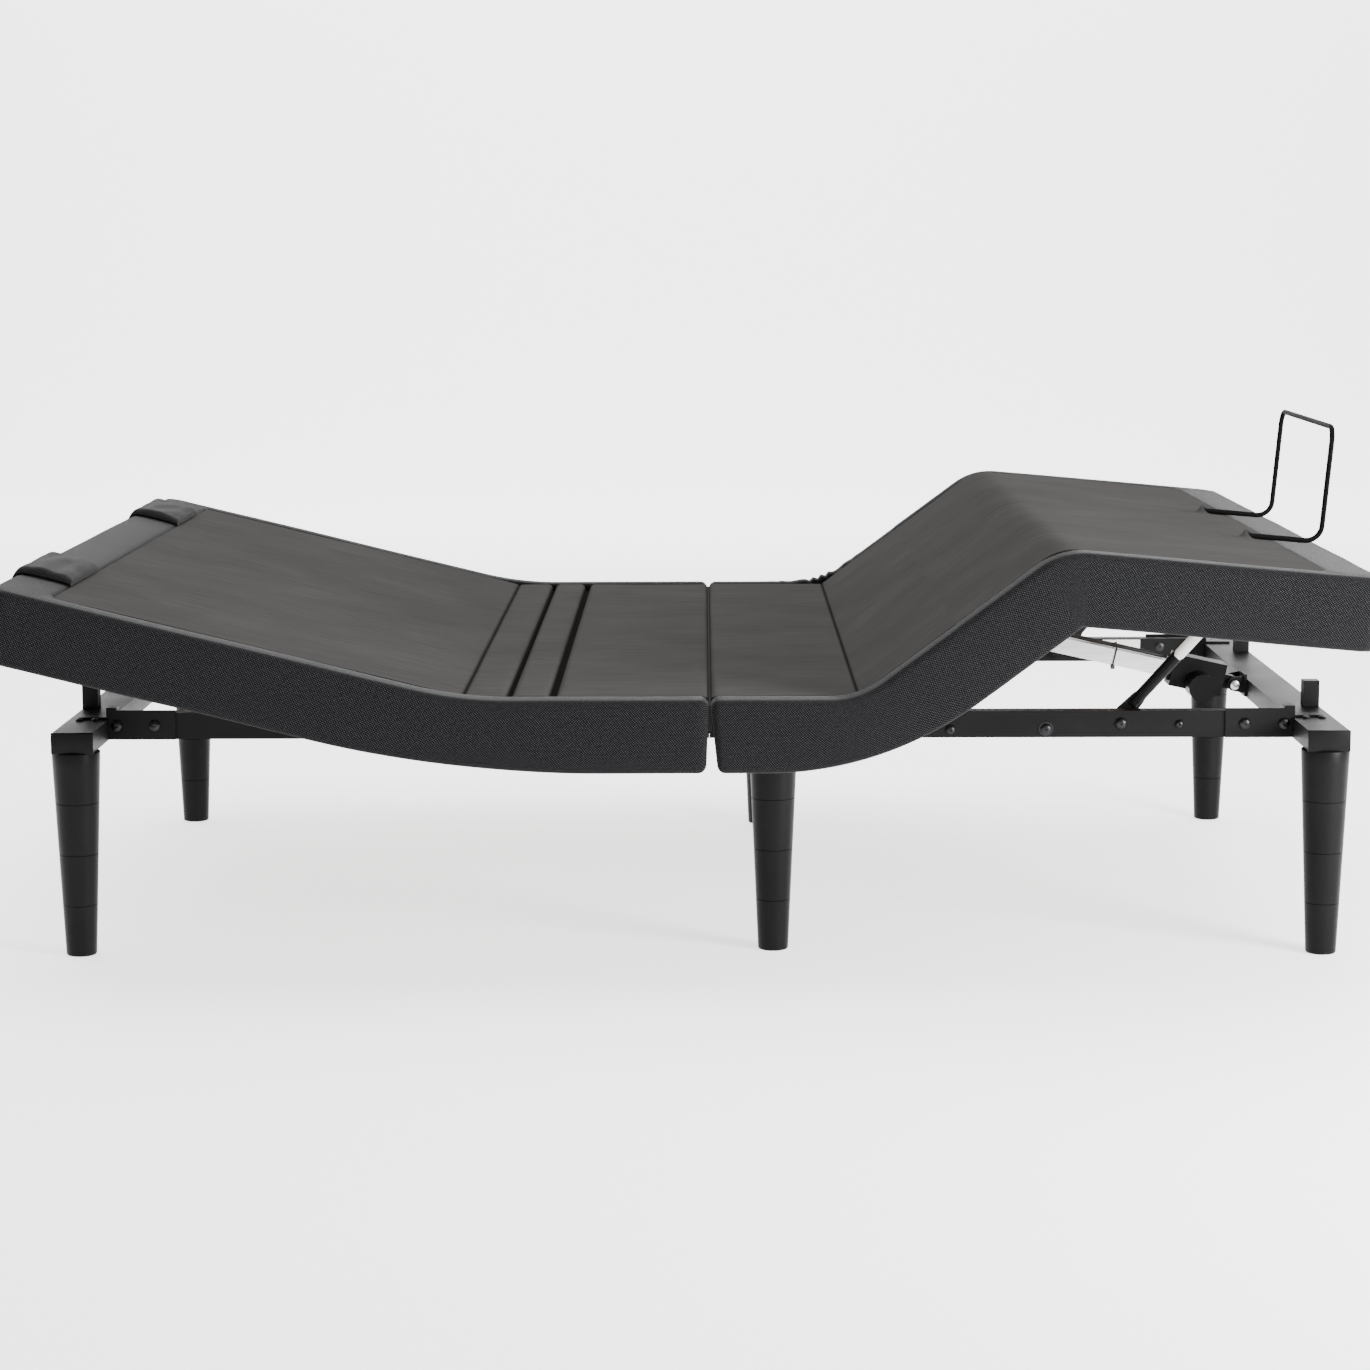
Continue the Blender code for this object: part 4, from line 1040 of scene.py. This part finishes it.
def bevelled(obj, width):
    """Takes the sharpness off a CAD node's edges."""
    modifier = obj.modifiers.new("edge", "BEVEL")
    modifier.width = width
    modifier.segments = 2
    modifier.limit_method = "ANGLE"
    modifier.angle_limit = math.radians(40)
    modifier.harden_normals = False


slots = {part["node"]: part["material_slot"] for part in frame["record"]["subparts"]}
for node, obj in NODES.items():
    if obj.hide_render:
        continue
    obj.data.materials.clear()
    obj.data.materials.append(SLOT_MATERIALS[slots[node]])
    if slots[node] == "powder_coated_steel":
        bevelled(obj, 0.0008)


# Studio

def backdrop():
    """A floor that sweeps up into a wall behind."""
    profile = [(-14.0, 0.0), (7.0, 0.0)]
    for i in range(1, 17):
        turn = math.pi / 2 * i / 16
        profile.append((7.0 + 3.0 * math.sin(turn), 3.0 - 3.0 * math.cos(turn)))
    profile.append((10.0, 14.0))
    bm = bmesh.new()
    rows = [[bm.verts.new((x, y, z)) for x in (-16.0, 16.0)] for y, z in profile]
    for low_row, high_row in zip(rows, rows[1:]):
        bm.faces.new((low_row[0], low_row[1], high_row[1], high_row[0]))
    return finish_mesh("studio_floor", bm)


floor = backdrop()
pale, _, _ = new_material("pale_floor", {"Base Color": (0.86, 0.86, 0.86, 1), "Roughness": 0.9,
                                        "Specular IOR Level": 0.1, "Emission Color": (1, 1, 1, 1),
                                        "Emission Strength": 1.7})
floor.data.materials.append(pale)


def area_light(name, place, target, size, power):
    data = bpy.data.lights.new(name, "AREA")
    data.shape = "RECTANGLE"
    data.size, data.size_y = size
    data.energy = power
    light = bpy.data.objects.new(name, data)
    light.location = place
    light.rotation_mode = "QUATERNION"
    light.rotation_quaternion = (Vector(target) - Vector(place)).to_track_quat("-Z", "Y")
    bpy.context.scene.collection.objects.link(light)


area_light("overhead", (0.0, 1.0, 4.2), (0, 0, 0.3), (6.0, 4.5), 330.0)
area_light("front_right", (2.7, -2.3, 1.0), (0.9, -0.7, 0.5), (1.2, 1.0), 245.0)
area_light("back_wall", (0.0, 5.0, 3.4), (0, 9.5, 1.8), (9.0, 2.0), 500.0)

world = bpy.data.worlds.new("studio")
world.use_nodes = True
world.node_tree.nodes["Background"].inputs["Color"].default_value = (1, 1, 1, 1)
world.node_tree.nodes["Background"].inputs["Strength"].default_value = 0.70
bpy.context.scene.world = world

# Camera

CAMERA_PLACE = (0.0233, -5.1717, 1.0654)
YAW, PITCH, ROLL = -0.0059, 0.1426, -0.0030
ahead = Vector((math.sin(YAW) * math.cos(PITCH), math.cos(YAW) * math.cos(PITCH), -math.sin(PITCH)))
right = ahead.cross(Vector((0, 0, 1))).normalized()
up = right.cross(ahead)
right, up = (right * math.cos(ROLL) + up * math.sin(ROLL), up * math.cos(ROLL) - right * math.sin(ROLL))
camera_data = bpy.data.cameras.new("camera")
camera_data.lens = 84.10
camera_data.sensor_width = 36.0
camera = bpy.data.objects.new("camera", camera_data)
turned = Matrix((right, up, -ahead)).transposed()
camera.matrix_world = Matrix.Translation(CAMERA_PLACE) @ turned.to_4x4()
bpy.context.scene.collection.objects.link(camera)
bpy.context.scene.camera = camera
